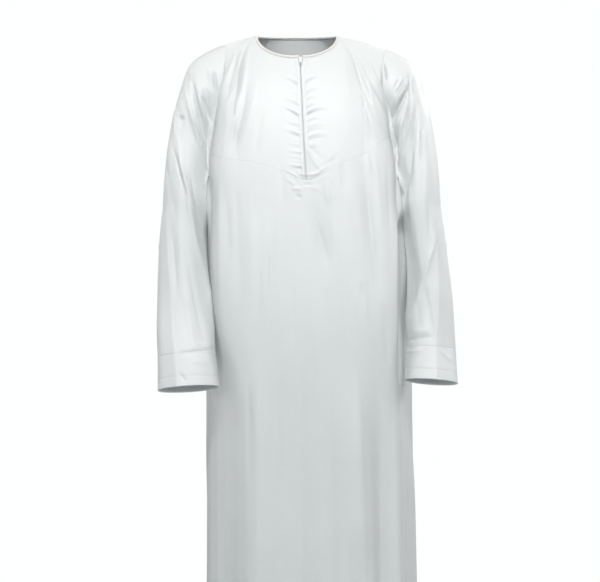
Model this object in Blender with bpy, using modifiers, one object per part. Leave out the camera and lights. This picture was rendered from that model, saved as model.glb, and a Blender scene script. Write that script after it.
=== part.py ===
"""Thobe robe: a collarless, long-sleeved, ankle-length robe in plain white cloth.

The robe keeps the hollow form it has when worn.  Its front looks along -Y, +Z is up, and
+X is the wearer's left.  The origin is the middle of the neck opening, level with the tops
of the shoulders, where the wearer's neck and shoulders hold the robe up.

Every panel is an open surface of cloth, lofted through sections worked out from the tables
below, and given its thickness by a Solidify modifier.  Panels stop just short of their seams.
"""

import math

import bmesh
import bpy
import numpy as np
from mathutils import Matrix, Vector

# ------------------------------------------------------------------ driving sizes, metres
LENGTH = 1.42            # top of shoulder to hem
CLOTH = 0.0015           # wall of the cloth
SEAM = 0.0010            # gap between the middles of two walls at a seam, 0.3 to 0.5 between them
RIDGE_SEAM = 0.0024      # the same where two panels meet at an angle, along the shoulder
ARMHOLE_GAP = 0.0018     # and where the sleeve is set in
UNDERARM = -0.285        # height of the underarm point
FRONT_DIP = 0.050        # the row at underarm level hangs lower at the centre front
BACK_DIP = 0.020

NECK_X = -0.006          # the neck sits a little to the wearer's right of the hem's middle
NECK_HALF = 0.0785       # half the width of the neck opening
NECK_FRONT = 0.068       # how far the front neckline lies ahead of the shoulder line
NECK_BACK = 0.060
NECK_DROP = 0.049        # centre front of the neckline, below its sides
NECK_RISE = 0.006        # centre back of the neckline, above its sides
NECK_SIDE = -0.006       # height of the neckline's sides
NECK_SHARE = 0.43        # share of the panel's half width that the neckline takes
BINDING = 0.0052         # height of the bound edge
BINDING_WALL = 0.0024

SHOULDER_RIGHT = (-0.150, 0.004, -0.0240)   # top of the wearer's right armhole
SHOULDER_LEFT = (0.171, 0.004, -0.0335)     # top of the wearer's left armhole

SLIT = 0.024             # the zip's slit, as a share of the panel's half width
SLIT_HALF = 0.0007       # half the slit's width where it is closed
SLIT_MOUTH = 0.0036      # half its width at the slider
SLIT_LENGTH = 0.206

NECK_COLUMNS = 5         # columns of faces on each half of the neckline
SHOULDER_STEP = 0.070    # a narrow column beside the neck, then the shoulder's own
SHOULDER_COLUMNS = 4
SIDE_COLUMNS = 4
YOKE_SHARES = (0.0, 0.045, 0.10, 0.17, 0.33, 0.55, 0.78, 1.0)   # rows, from neck to pointed seam
UNDER_YOKE_ROWS = 2
BACK_ROWS = 9            # rows of the back above the underarm
SKIRT_ROWS = 19


def table(columns, *rows):
    """A short table: named columns, a row for each section or fold."""
    return {name: np.array([row[i] for row in rows], float) for i, name in enumerate(columns.split())}


# Sections of the body from the underarm to the hem.  z is the height, mid the middle of the
# section, right and left its half widths, front and back its depths, square how boxy it is,
# flat how level its front and back are, lean how much wider it is behind than in front, and
# the seams are the angles from the centre front at which the panels meet.
BODY = table(
    "z mid right left front back square flat lean seam_fr seam_fl seam_br seam_bl",
    (-0.285, 0.003, 0.179, 0.183, 0.131, 0.120, 0.50, 0.26, 0.000, 69, 67, 112, 112),
    (-0.345, 0.006, 0.188, 0.1945, 0.1325, 0.118, 0.54, 0.32, 0.018, 63, 58, 116, 117),
    (-0.460, 0.010, 0.196, 0.208, 0.137, 0.118, 0.56, 0.34, 0.023, 56, 46, 119, 122),
    (-0.590, 0.012, 0.194, 0.203, 0.137, 0.122, 0.56, 0.32, 0.034, 56, 50, 120, 123),
    (-0.660, 0.013, 0.192, 0.202, 0.131, 0.125, 0.54, 0.30, 0.040, 55, 53, 120, 123),
    (-0.720, 0.015, 0.195, 0.203, 0.127, 0.128, 0.50, 0.26, 0.038, 55, 55, 121, 123),
    (-0.820, 0.018, 0.203, 0.206, 0.123, 0.134, 0.40, 0.20, 0.030, 54, 55, 122, 124),
    (-1.100, 0.023, 0.210, 0.210, 0.122, 0.142, 0.24, 0.14, 0.018, 56, 53, 122, 125),
    (-1.420, 0.025, 0.222, 0.222, 0.126, 0.155, 0.16, 0.12, 0.012, 57, 53, 122, 125),
)

# The pointed seam under the yoke: across is the share of the panel's half width.
POINTED_SEAM = table(
    "across z",
    (-1.00, -0.2475),
    (-0.62, -0.2595),
    (-0.30, -0.2690),
    (-0.09, -0.2880),
    (0.024, -0.3020),
    (0.12, -0.2925),
    (0.22, -0.2740),
    (0.50, -0.2420),
    (0.66, -0.2260),
    (1.00, -0.2130),
)

# Sections of the sleeves from the upper arm to the wrist.  out is the distance of the
# section's middle from x = 0, half its half width seen from the front, y and deep the same
# from the side, rise how much its front edge lies above its back, drop how much its outer
# edge lies below its inner one.
SLEEVE_RIGHT = table(
    "z out half y deep rise drop",
    (-0.345, 0.2278, 0.0443, -0.020, 0.068, 0.000, 0.004),
    (-0.390, 0.2318, 0.0448, -0.023, 0.066, 0.000, 0.003),
    (-0.440, 0.2337, 0.0457, -0.028, 0.064, 0.002, 0.002),
    (-0.540, 0.2302, 0.0508, -0.050, 0.058, 0.006, 0.002),
    (-0.600, 0.2258, 0.0542, -0.073, 0.054, 0.007, 0.002),
    (-0.643, 0.2205, 0.0560, -0.092, 0.051, 0.008, 0.003),
    (-0.705, 0.2155, 0.0585, -0.116, 0.049, 0.009, 0.004),
)
SLEEVE_LEFT = table(
    "z out half y deep rise drop",
    (-0.345, 0.2405, 0.0385, -0.020, 0.068, 0.000, 0.004),
    (-0.390, 0.2480, 0.0377, -0.022, 0.066, 0.000, 0.003),
    (-0.440, 0.2543, 0.0373, -0.024, 0.064, 0.002, 0.002),
    (-0.540, 0.2590, 0.0430, -0.038, 0.058, 0.005, 0.002),
    (-0.590, 0.2580, 0.0460, -0.050, 0.054, 0.006, 0.002),
    (-0.630, 0.2575, 0.0480, -0.062, 0.051, 0.007, 0.003),
    (-0.693, 0.2560, 0.0510, -0.088, 0.049, 0.008, 0.004),
)
CUFF_RIGHT_TOP = -0.643
CUFF_LEFT_TOP = -0.630
# The pressed crease: its angle from the sleeve's outer side toward its front.
CREASE_RIGHT = table(
    "z angle",
    (-0.300, 44),
    (-0.345, 47),
    (-0.450, 60),
    (-0.520, 66),
    (-0.600, 68),
    (-0.705, 71),
)
CREASE_LEFT = table(
    "z angle",
    (-0.300, 49),
    (-0.345, 54),
    (-0.450, 69),
    (-0.550, 76),
    (-0.630, 83),
    (-0.693, 82),
)
CREASE_HEIGHT = 0.0030
CAP_SHARES = (0.0, 0.12, 0.24, 0.36, 0.54, 0.76, 1.0)   # rows of the sleeve's cap
SHOULDER_CORNER = 0.0085 # how far the cap stands out where the arm turns down
SLEEVE_ROWS = 8
CUFF_ROWS = 2

# The largest folds.  Each runs from (x0, z0) down to (x1, z1), width wide, and stands
# height proud of the panel, or sinks into it where height is negative.
FOLDS_FRONT = table(
    "x0 z0 x1 z1 width height",
    (-0.084, -0.540, -0.090, -1.440, 0.024, 0.0080),
    (-0.146, -0.500, -0.156, -1.440, 0.030, -0.0130),
    (-0.010, -0.640, -0.004, -1.440, 0.034, -0.0050),
    (0.078, -0.520, 0.096, -1.440, 0.030, 0.0080),
    (0.152, -0.600, 0.172, -1.440, 0.026, -0.0135),
    (0.184, -0.700, 0.196, -1.440, 0.012, 0.0055),
    (0.026, -0.340, 0.054, -0.470, 0.020, -0.0030),
    (0.118, -0.240, 0.142, -0.540, 0.018, -0.0045),
    (-0.120, -0.120, -0.140, -0.230, 0.014, 0.0050),
    (0.108, -0.110, 0.150, -0.240, 0.015, 0.0050),
)
FOLDS_BACK = table(
    "x0 z0 x1 z1 width height",
    (-0.128, -0.160, -0.140, -1.440, 0.020, -0.0085),
    (-0.070, -0.420, -0.088, -1.440, 0.022, 0.0100),
    (-0.018, -0.300, -0.022, -1.440, 0.024, -0.0080),
    (0.044, -0.480, 0.060, -1.440, 0.021, 0.0105),
    (0.092, -0.260, 0.116, -1.440, 0.020, -0.0085),
    (0.140, -0.620, 0.164, -1.440, 0.016, 0.0060),
)
# Folds down the side panels: y takes the place of x.
FOLDS_SIDE = table(
    "side y0 z0 y1 z1 width height",
    (-1, 0.010, -0.360, 0.020, -1.440, 0.022, -0.0100),
    (1, 0.020, -0.340, 0.030, -1.440, 0.022, -0.0095),
)


# ------------------------------------------------------------------ small mathematics
def smooth(x):
    x = np.clip(x, 0.0, 1.0)
    return x * x * (3 - 2 * x)


def curve(tab, key, column, at):
    """A smooth curve through a table's rows, read at one or many places."""
    x, y = tab[key], tab[column]
    if x[0] > x[-1]:
        x, y = x[::-1], y[::-1]
    slope = np.gradient(y, x)
    at = np.clip(at, x[0], x[-1])
    i = np.clip(np.searchsorted(x, at) - 1, 0, len(x) - 2)
    h = x[i + 1] - x[i]
    t = (at - x[i]) / h
    return (
        (1 + 2 * t) * (1 - t) ** 2 * y[i]
        + t * (1 - t) ** 2 * h * slope[i]
        + t * t * (3 - 2 * t) * y[i + 1]
        + t * t * (t - 1) * h * slope[i + 1]
    )


def unit(v):
    return v / np.maximum(np.linalg.norm(v, axis=-1, keepdims=True), 1e-12)


def hermite(p0, d0, p1, d1, t):
    t = t[..., None]
    return (
        (1 + 2 * t) * (1 - t) ** 2 * p0
        + t * (1 - t) ** 2 * d0
        + t * t * (3 - 2 * t) * p1
        + t * t * (t - 1) * d1
    )


def stack(x, y, z):
    return np.stack(np.broadcast_arrays(x, y, z), axis=-1)


# ------------------------------------------------------------------ the body's surface
def ring(phi, z):
    """The body's section at height z, phi degrees round from the centre front toward +X."""
    s, c = np.sin(np.radians(phi)), np.cos(np.radians(phi))
    wide = np.where(s < 0, curve(BODY, "z", "right", z), curve(BODY, "z", "left", z))
    deep = np.where(c > 0, curve(BODY, "z", "front", z), curve(BODY, "z", "back", z))
    square = curve(BODY, "z", "square", z)
    x = curve(BODY, "z", "mid", z) + wide * s * (1 + square * c * c)
    x = x - curve(BODY, "z", "lean", z) * s * np.abs(s) * c
    return stack(x, -deep * c * (1 + curve(BODY, "z", "flat", z) * s * s), z)


def ring_normal(phi, z):
    along = ring(phi + 0.5, z) - ring(phi - 0.5, z)
    down = ring(phi, z - 0.004) - ring(phi, z + 0.004)
    return unit(np.cross(down, along))


def front_angle(across, z):
    seam = np.where(across < 0, curve(BODY, "z", "seam_fr", z), curve(BODY, "z", "seam_fl", z))
    return across * seam


def back_angle(across, z):
    """across runs from the wearer's right to the left, as on the front."""
    seam = np.where(across < 0, curve(BODY, "z", "seam_br", z), curve(BODY, "z", "seam_bl", z))
    return np.where(across < 0, -180.0, 180.0) - across * (180.0 - seam)


def ridges(folds, side, at, z):
    """How far the folds of one table stand proud at (at, z)."""
    total = np.zeros(np.broadcast(at, z).shape)
    x0, x1 = ("y0", "y1") if "y0" in folds else ("x0", "x1")
    for i in range(len(folds["z0"])):
        if "side" in folds and folds["side"][i] != side:
            continue
        run = (folds["z0"][i] - z) / (folds["z0"][i] - folds["z1"][i])
        middle = folds[x0][i] + np.clip(run, 0, 1) * (folds[x1][i] - folds[x0][i])
        ends = smooth(run / 0.35) * (1 - smooth((run - 0.60) / 0.40) * (folds["z1"][i] > -LENGTH))
        total = total + folds["height"][i] * ends * np.exp(-(((at - middle) / folds["width"][i]) ** 2))
    return total


def lift(p):
    """Height of the cloth's folds at a point of the body."""
    x, y, z = p[..., 0], p[..., 1], p[..., 2]
    front = smooth((-y - 0.035) / 0.04) * ridges(FOLDS_FRONT, 0, x, z)
    back = smooth((y - 0.035) / 0.04) * ridges(FOLDS_BACK, 0, x, z)
    side = np.where(x < 0.01, ridges(FOLDS_SIDE, -1, y, z), ridges(FOLDS_SIDE, 1, y, z))
    return front + back + smooth((np.abs(x - 0.012) - 0.14) / 0.04) * side


def skirt(phi, z):
    p = ring(phi, z)
    return p + ring_normal(phi, z) * lift(p)[..., None]


def neckline(across, back=False):
    """A point of the neckline; across runs from -1 to 1 between its sides."""
    psi = across * math.pi / 2
    y = NECK_BACK * np.cos(psi) if back else -NECK_FRONT * np.cos(psi)
    z = NECK_SIDE + (NECK_RISE if back else -NECK_DROP) * np.cos(psi)
    return stack(NECK_X + NECK_HALF * np.sin(psi), y + 0.004 * np.abs(np.sin(psi)), z)


def top_edge(across, back=False):
    """The upper edge of the front or back: shoulder seam, neckline, shoulder seam."""
    neck = neckline(np.clip(across / NECK_SHARE, -1, 1), back)
    run = np.clip((np.abs(across) - NECK_SHARE) / (1 - NECK_SHARE), 0, 1)[..., None]
    tip = np.where((across < 0)[..., None], np.array(SHOULDER_RIGHT), np.array(SHOULDER_LEFT))
    side = neckline(np.sign(across), back)
    slope = side + (tip - side) * run + np.array((0, 0, 0.0025)) * np.sin(math.pi * run)
    return np.where((np.abs(across) <= NECK_SHARE)[..., None], neck, slope)


def yoke_start(across, back):
    """The direction in which the cloth leaves the upper edge, and how firmly.

    The lines fan outward beside the neck, where neckline and shoulder seam meet.
    """
    across = np.asarray(across, float)
    forward = np.full_like(across, 1.0 if back else -1.0)
    neck_way = stack(0 * across, forward * (0.30 if back else 0.42), -0.90 + 0 * across)
    side_way = stack(np.sign(across) * 0.66, forward * 0.62, -0.42 + 0 * across)
    arm_way = stack(np.where(across < 0, 0.10, -0.22), forward * 0.86, -0.50 + 0 * across)
    to_side = smooth(np.abs(across) / NECK_SHARE)[..., None]
    to_arm = smooth((np.abs(across) - NECK_SHARE) / (0.7 * (1 - NECK_SHARE)))[..., None]
    way = unit(neck_way + (side_way - neck_way) * to_side + (arm_way - side_way) * to_arm)
    return way * (0.26 + 0.02 * to_arm)


def upper_edge_of_skirt(across, back):
    return UNDERARM - (BACK_DIP if back else FRONT_DIP) * (1 - across**2)


def upper(across, t, back=False):
    """The body above the underarm: t runs from the upper edge (0) to the underarm row (1)."""
    across, t = np.broadcast_arrays(np.asarray(across, float), np.asarray(t, float))
    z = upper_edge_of_skirt(across, back)
    angle = back_angle if back else front_angle
    end = ring(angle(across, z), z)
    fall = (ring(angle(across, z - 0.01), z - 0.01) - end) / 0.01
    return hermite(top_edge(across, back), yoke_start(across, back), end, fall * 0.24, t)


def upper_folded(across, t, back=False):
    step = 0.01
    p = upper(across, t, back)
    sideways = upper(across + step, t, back) - upper(across - step, t, back)
    down = upper(across, np.clip(t + step, 0, 1), back) - upper(across, np.clip(t - step, 0, 1), back)
    out = unit(np.cross(down, sideways)) * (-1.0 if back else 1.0)
    return p + out * (lift(p) * smooth(t / 0.3))[..., None]


def seam_share(across):
    """t of the pointed seam in one column of the front."""
    t = np.linspace(0, 1, 161)
    grid = upper(np.asarray(across)[..., None], t)[..., 2]
    height = curve(POINTED_SEAM, "across", "z", across)
    return np.array([np.interp(-h, -col, t) for h, col in zip(height, grid)])


# ------------------------------------------------------------------ grids of points
def inset(grid, edge, gap):
    """Moves one edge of a grid inward, along the grid's own lines."""
    grid = grid.copy()
    view = {
        "top": (grid[0], grid[1]),
        "bottom": (grid[-1], grid[-2]),
        "first": (grid[:, 0], grid[:, 1]),
        "last": (grid[:, -1], grid[:, -2]),
    }[edge]
    view[0][...] += unit(view[1] - view[0]) * np.asarray(gap)[..., None]
    return grid


def skirt_grid(angle, columns, dip, rows=SKIRT_ROWS):
    """Rows from the underarm level to the hem, without the first one."""
    start = UNDERARM - dip * (1 - columns**2)
    share = np.linspace(0, 1, rows + 1)[1:, None]
    z = start + share * (-LENGTH - start)
    return skirt(angle(columns, z), z)


def slit_gap(z):
    """Half width of the slit: wide where the slider sits, closed a little lower."""
    below = (NECK_SIDE - NECK_DROP) - z
    mouth = SLIT_HALF + (SLIT_MOUTH - SLIT_HALF) * (1 - smooth((below - 0.010) / 0.018))
    return mouth


def half_columns(side, start):
    """Shares of the half width: the neckline, a narrow step beside it, the shoulder."""
    return np.concatenate(
        [
            np.linspace(start, side * NECK_SHARE, NECK_COLUMNS + 1),
            side * np.linspace(NECK_SHARE + SHOULDER_STEP, 1, SHOULDER_COLUMNS + 1),
        ]
    )


def neck_frame(across, back):
    """The neckline's direction, and the one that leaves it square within the cloth."""
    turn = np.asarray(across, float) / NECK_SHARE
    along = unit(neckline(turn + 0.01, back) - neckline(turn - 0.01, back))
    way = unit(yoke_start(across, back))
    square = unit(way - along * np.sum(way * along, axis=-1, keepdims=True))
    tip = np.where((turn < 0)[..., None], np.array(SHOULDER_RIGHT), np.array(SHOULDER_LEFT))
    shoulder = unit(tip - neckline(np.sign(turn), back))
    beside = smooth((np.abs(turn) - 0.6) / 0.4)[..., None]
    return way, unit(square + (shoulder - square) * beside)


def upper_start(columns, back=False):
    """t at which each line of the panel begins, just short of its upper edge."""
    at_neck = np.abs(columns) <= NECK_SHARE + 0.001
    way, square = neck_frame(np.clip(columns, -NECK_SHARE, NECK_SHARE), back)
    slant = np.sum(way * square, axis=-1)
    gap = np.where(at_neck, (BINDING + 0.0009) / slant, RIDGE_SEAM / 2)
    return gap / np.linalg.norm(yoke_start(columns, back), axis=-1)


def yoke_grid(side):
    columns = half_columns(side, SLIT)
    start = upper_start(columns)
    t = start + (seam_share(columns) - start) * np.array(YOKE_SHARES)[:, None]
    grid = upper_folded(columns, t)
    grid = inset(grid, "first", slit_gap(grid[:, 0, 2]))
    grid = inset(grid, "bottom", SEAM / 2)
    return inset(grid, "last", SEAM / 2)


def front_panel_grid():
    columns = np.concatenate([half_columns(-1, SLIT)[:0:-1], half_columns(1, SLIT)])
    share = seam_share(columns)
    t = share + (1 - share) * np.linspace(0, 1, UNDER_YOKE_ROWS + 1)[:, None]
    grid = np.concatenate([upper_folded(columns, t), skirt_grid(front_angle, columns, FRONT_DIP)])
    grid = inset(inset(grid, "first", SEAM / 2), "last", SEAM / 2)
    return inset(grid, "top", SEAM / 2)


def back_panel_grid():
    columns = np.concatenate([half_columns(-1, 0.0)[:0:-1], half_columns(1, 0.0)])
    start = upper_start(columns, True)
    t = start + (1 - start) * np.linspace(0, 1, BACK_ROWS + 1)[:, None]
    grid = np.concatenate([upper_folded(columns, t, True), skirt_grid(back_angle, columns, BACK_DIP)])
    return inset(inset(grid, "first", SEAM / 2), "last", SEAM / 2)


def side_angles(side, z, shares):
    tail = "r" if side < 0 else "l"
    start = curve(BODY, "z", "seam_f" + tail, z)
    end = curve(BODY, "z", "seam_b" + tail, z)
    return side * (start + shares * (end - start))


def side_panel_grid(side):
    shares = np.linspace(0, 1, SIDE_COLUMNS + 1)
    z = UNDERARM + np.linspace(0, 1, SKIRT_ROWS + 1)[:, None] * (-LENGTH - UNDERARM)
    grid = skirt(side_angles(side, z, shares), z)
    grid = inset(grid, "top", ARMHOLE_GAP / 2)
    return inset(inset(grid, "first", SEAM / 2), "last", SEAM / 2)


def armhole(side):
    """The closed edge that the sleeve is set into, from the shoulder down the front."""
    share = seam_share(np.array([float(side)]))[0]
    start = upper_start(np.array([float(side)]))[0]
    front = np.concatenate(
        [
            start + (share - start) * np.array(YOKE_SHARES),
            share + (1 - share) * np.linspace(0, 1, UNDER_YOKE_ROWS + 1)[1:],
        ]
    )
    back = np.linspace(1, start, BACK_ROWS + 1)
    at = np.full(1, float(side))
    under = np.linspace(0, 1, SIDE_COLUMNS + 1)[1:-1]
    return np.concatenate(
        [
            upper_folded(at, front[:, None])[:, 0],
            skirt(side_angles(side, np.full(1, UNDERARM), under), np.full_like(under, UNDERARM)),
            upper_folded(at, back[:, None], True)[:-1, 0],
        ]
    )


def armhole_angles():
    """Where each armhole point goes round the sleeve: 0 is its outer side, 90 its front."""
    front = 152 * np.concatenate([0.86 * np.array(YOKE_SHARES), np.linspace(0.86, 1, UNDER_YOKE_ROWS + 1)[1:]])
    under = np.linspace(152, 208, SIDE_COLUMNS + 1)[1:-1]
    back = np.linspace(208, 360, BACK_ROWS + 1)[:-1]
    return np.concatenate([front, under, back])


# ------------------------------------------------------------------ the sleeves' surface
def sleeve_section(side, theta, z, soft=14.0):
    """A sleeve's section: theta degrees from its outer side toward its front.

    soft is how many degrees the pressed crease takes to die away on each side.
    """
    tab = SLEEVE_RIGHT if side < 0 else SLEEVE_LEFT
    angle = curve(CREASE_RIGHT if side < 0 else CREASE_LEFT, "z", "angle", z)
    read = {name: curve(tab, "z", name, z) for name in ("out", "half", "y", "deep", "rise", "drop")}
    c, s = np.cos(np.radians(theta)), np.sin(np.radians(theta))
    off = np.abs((theta - angle + 180) % 360 - 180)
    crease = CREASE_HEIGHT * np.exp(-off / soft)
    x = side * (read["out"] + (read["half"] + crease) * c)
    y = read["y"] - (read["deep"] + crease) * s
    return stack(x, y, z + read["rise"] * s - read["drop"] * c)


def cap_form(side, theta, start, end, t):
    """The sleeve's cap from the armhole (t = 0) to the upper arm (1), bending over the shoulder."""
    upward = (1 + np.cos(np.radians(theta))) / 2
    front = np.sin(np.radians(theta))
    away = stack(side * (0.58 + 0.38 * upward), -0.22 * front, -0.76 + 0.53 * upward)
    firm = np.where(side < 0, 0.33, 0.275)
    leave = unit(away) * (0.048 + (firm - 0.048) * upward)[..., None]
    fall = stack(side * 0.03, 0.0 * front, -1.0 + 0 * front) * (0.07 + 0.25 * upward)[..., None]
    rows = hermite(start, leave, end, fall, t * np.ones_like(theta))
    corner = SHOULDER_CORNER * upward**5 * np.exp(-(((t - 0.25) / 0.11) ** 2))
    return rows + np.array((side * 0.72, 0.0, 0.69)) * corner[..., None]


def cap_rows(side):
    theta = armhole_angles()
    end = sleeve_section(side, theta, np.full_like(theta, SLEEVE_RIGHT["z"][0]))
    rows = cap_form(side, theta, armhole(side), end, np.array(CAP_SHARES)[:, None])
    upward = (1 + np.cos(np.radians(theta))) / 2
    rows[0] += np.array((side * 0.94, 0.0, -0.34)) * (ARMHOLE_GAP * (1.6 - 0.6 * upward))[:, None]
    rows[0, :, 2] -= 0.0010 * (1 - upward) ** 4
    return rows


def sleeve_grid(side):
    theta = armhole_angles()
    bottom = CUFF_RIGHT_TOP if side < 0 else CUFF_LEFT_TOP
    z = np.linspace(SLEEVE_RIGHT["z"][0], bottom, SLEEVE_ROWS + 1)[1:, None] * np.ones_like(theta)
    grid = np.concatenate([cap_rows(side), sleeve_section(side, theta, z)])
    return inset(grid, "bottom", SEAM / 2)


def cuff_grid(side):
    theta = armhole_angles()
    tab, top = (SLEEVE_RIGHT, CUFF_RIGHT_TOP) if side < 0 else (SLEEVE_LEFT, CUFF_LEFT_TOP)
    z = np.linspace(top, tab["z"][-1], CUFF_ROWS + 1)[:, None] * np.ones_like(theta)
    return inset(sleeve_section(side, theta, z), "top", SEAM / 2)


# ------------------------------------------------------------------ objects
def clear_scene():
    for obj in list(bpy.data.objects):
        bpy.data.objects.remove(obj, do_unlink=True)


def material(name, colour, roughness, metallic=0.0, sheen=0.0):
    mat = bpy.data.materials.new(name)
    mat.use_nodes = True
    shader = next(n for n in mat.node_tree.nodes if n.type == "BSDF_PRINCIPLED")
    shader.inputs["Base Color"].default_value = (*colour, 1.0)
    shader.inputs["Roughness"].default_value = roughness
    shader.inputs["Metallic"].default_value = metallic
    shader.inputs["Sheen Weight"].default_value = sheen
    return mat


def link(name, mesh, mat, collection):
    obj = bpy.data.objects.new(name, mesh)
    mesh.materials.append(mat)
    collection.objects.link(obj)
    return obj


def cloth_panel(name, grid, mat, collection, closed=False, flip=False, wall=CLOTH):
    """An open sheet through a grid of points, given the cloth's thickness.

    A closed grid is a tube: its last column joins its first.
    """
    rows, columns = grid.shape[:2]
    bm = bmesh.new()
    points = [[bm.verts.new(Vector(p)) for p in row] for row in grid]
    last = columns if closed else columns - 1
    for r in range(rows - 1):
        for c in range(last):
            n = (c + 1) % columns
            face = [points[r][c], points[r + 1][c], points[r + 1][n], points[r][n]]
            bm.faces.new(face[::-1] if flip else face)
    bmesh.ops.triangulate(bm, faces=bm.faces, quad_method="SHORT_EDGE")
    mesh = bpy.data.meshes.new(name)
    bm.to_mesh(mesh)
    bm.free()
    mesh.shade_smooth()
    obj = link(name, mesh, mat, collection)
    solid = obj.modifiers.new("Cloth thickness", "SOLIDIFY")
    solid.thickness = wall
    solid.offset = 0.0
    solid.use_even_offset = True
    return obj


def neck_binding(mat, collection):
    """A folded strip that stands on the panels' edges, all round but for the slit."""
    gap = (SLIT_MOUTH + 0.0004) / (NECK_HALF * math.pi / 2) * NECK_SHARE
    left = half_columns(1, SLIT)[: NECK_COLUMNS + 1]
    right = half_columns(-1, SLIT)[: NECK_COLUMNS + 1]
    behind = np.concatenate([half_columns(-1, 0.0)[NECK_COLUMNS::-1], half_columns(1, 0.0)[1 : NECK_COLUMNS + 1]])
    left[0], right[0] = SLIT + gap, SLIT - gap
    lines = []
    for columns, back in ((left, False), (behind[-2:0:-1], True), (right[::-1], False)):
        _, square = neck_frame(columns, back)
        edge = neckline(columns / NECK_SHARE, back)
        lines.append(np.stack([edge + square * BINDING * share for share in (0.0, 0.5, 1.0)]))
    grid = np.concatenate(lines, axis=1)[:, ::-1]
    return cloth_panel("neck_binding", grid, mat, collection, wall=BINDING_WALL)


def zip_frame():
    """Where the slider sits: a point on the slit, its up and its outward directions."""
    at = np.array([SLIT, SLIT])
    p = upper(at, np.array([0.030, 0.100]))
    up = unit(p[0] - p[1])
    up[0] = 0.0
    up = unit(up)
    out = np.cross(up, np.array((1.0, 0.0, 0.0)))
    out = out if out[1] < 0 else -out
    return p[0], up, out


def zip_tape(mat, collection):
    """The tape behind the slit, with the chain standing up along its middle.

    It is made from the yoke's own points, moved inward.
    """
    profile = table(
        "across depth",
        (-0.0430, -0.0034),
        (-0.0090, -0.0032),
        (-0.0048, -0.0025),
        (0.0048, -0.0025),
        (0.0090, -0.0032),
        (0.0430, -0.0034),
    )
    last = seam_share(np.full(1, SLIT))[0] * 0.985
    t = np.concatenate([np.linspace(0.035, 0.20, 5)[:-1], np.linspace(0.20, last, 10)])[:, None]
    across = SLIT + profile["across"] + 0 * t
    p = upper_folded(across, t)
    sideways = upper_folded(across + 0.01, t) - upper_folded(across - 0.01, t)
    down = upper_folded(across, t + 0.01) - upper_folded(across, t - 0.01)
    out = unit(np.cross(down, sideways))
    return cloth_panel("zip_tape", p + out * profile["depth"][None, :, None], mat, collection, wall=0.0010)


def box_mesh(bm, size, centre):
    made = bmesh.ops.create_cube(bm, size=1.0)
    bmesh.ops.scale(bm, vec=Vector(size), verts=made["verts"])
    bmesh.ops.translate(bm, vec=Vector(centre), verts=made["verts"])
    return made["verts"]


# The slider and its pull, in millimetres, on the slider's own axes: x across, y out, z up,
# from the hinge, which is the middle of the pull's cross bar.
MM = 0.001
SLIDER_WIDE, SLIDER_TALL, SLIDER_THICK = 5.6, 8.6, 1.8
LOOP_WIDE, LOOP_WALL = 1.2, 0.9
LOOP_OPEN_Y, LOOP_OPEN_Z = 1.9, 2.2
BAR = 0.9
PULL_WIDE, PULL_LONG, PULL_THICK = 4.2, 11.0, 0.9
EYE_WIDE, EYE_LONG = 2.2, 3.6


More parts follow.
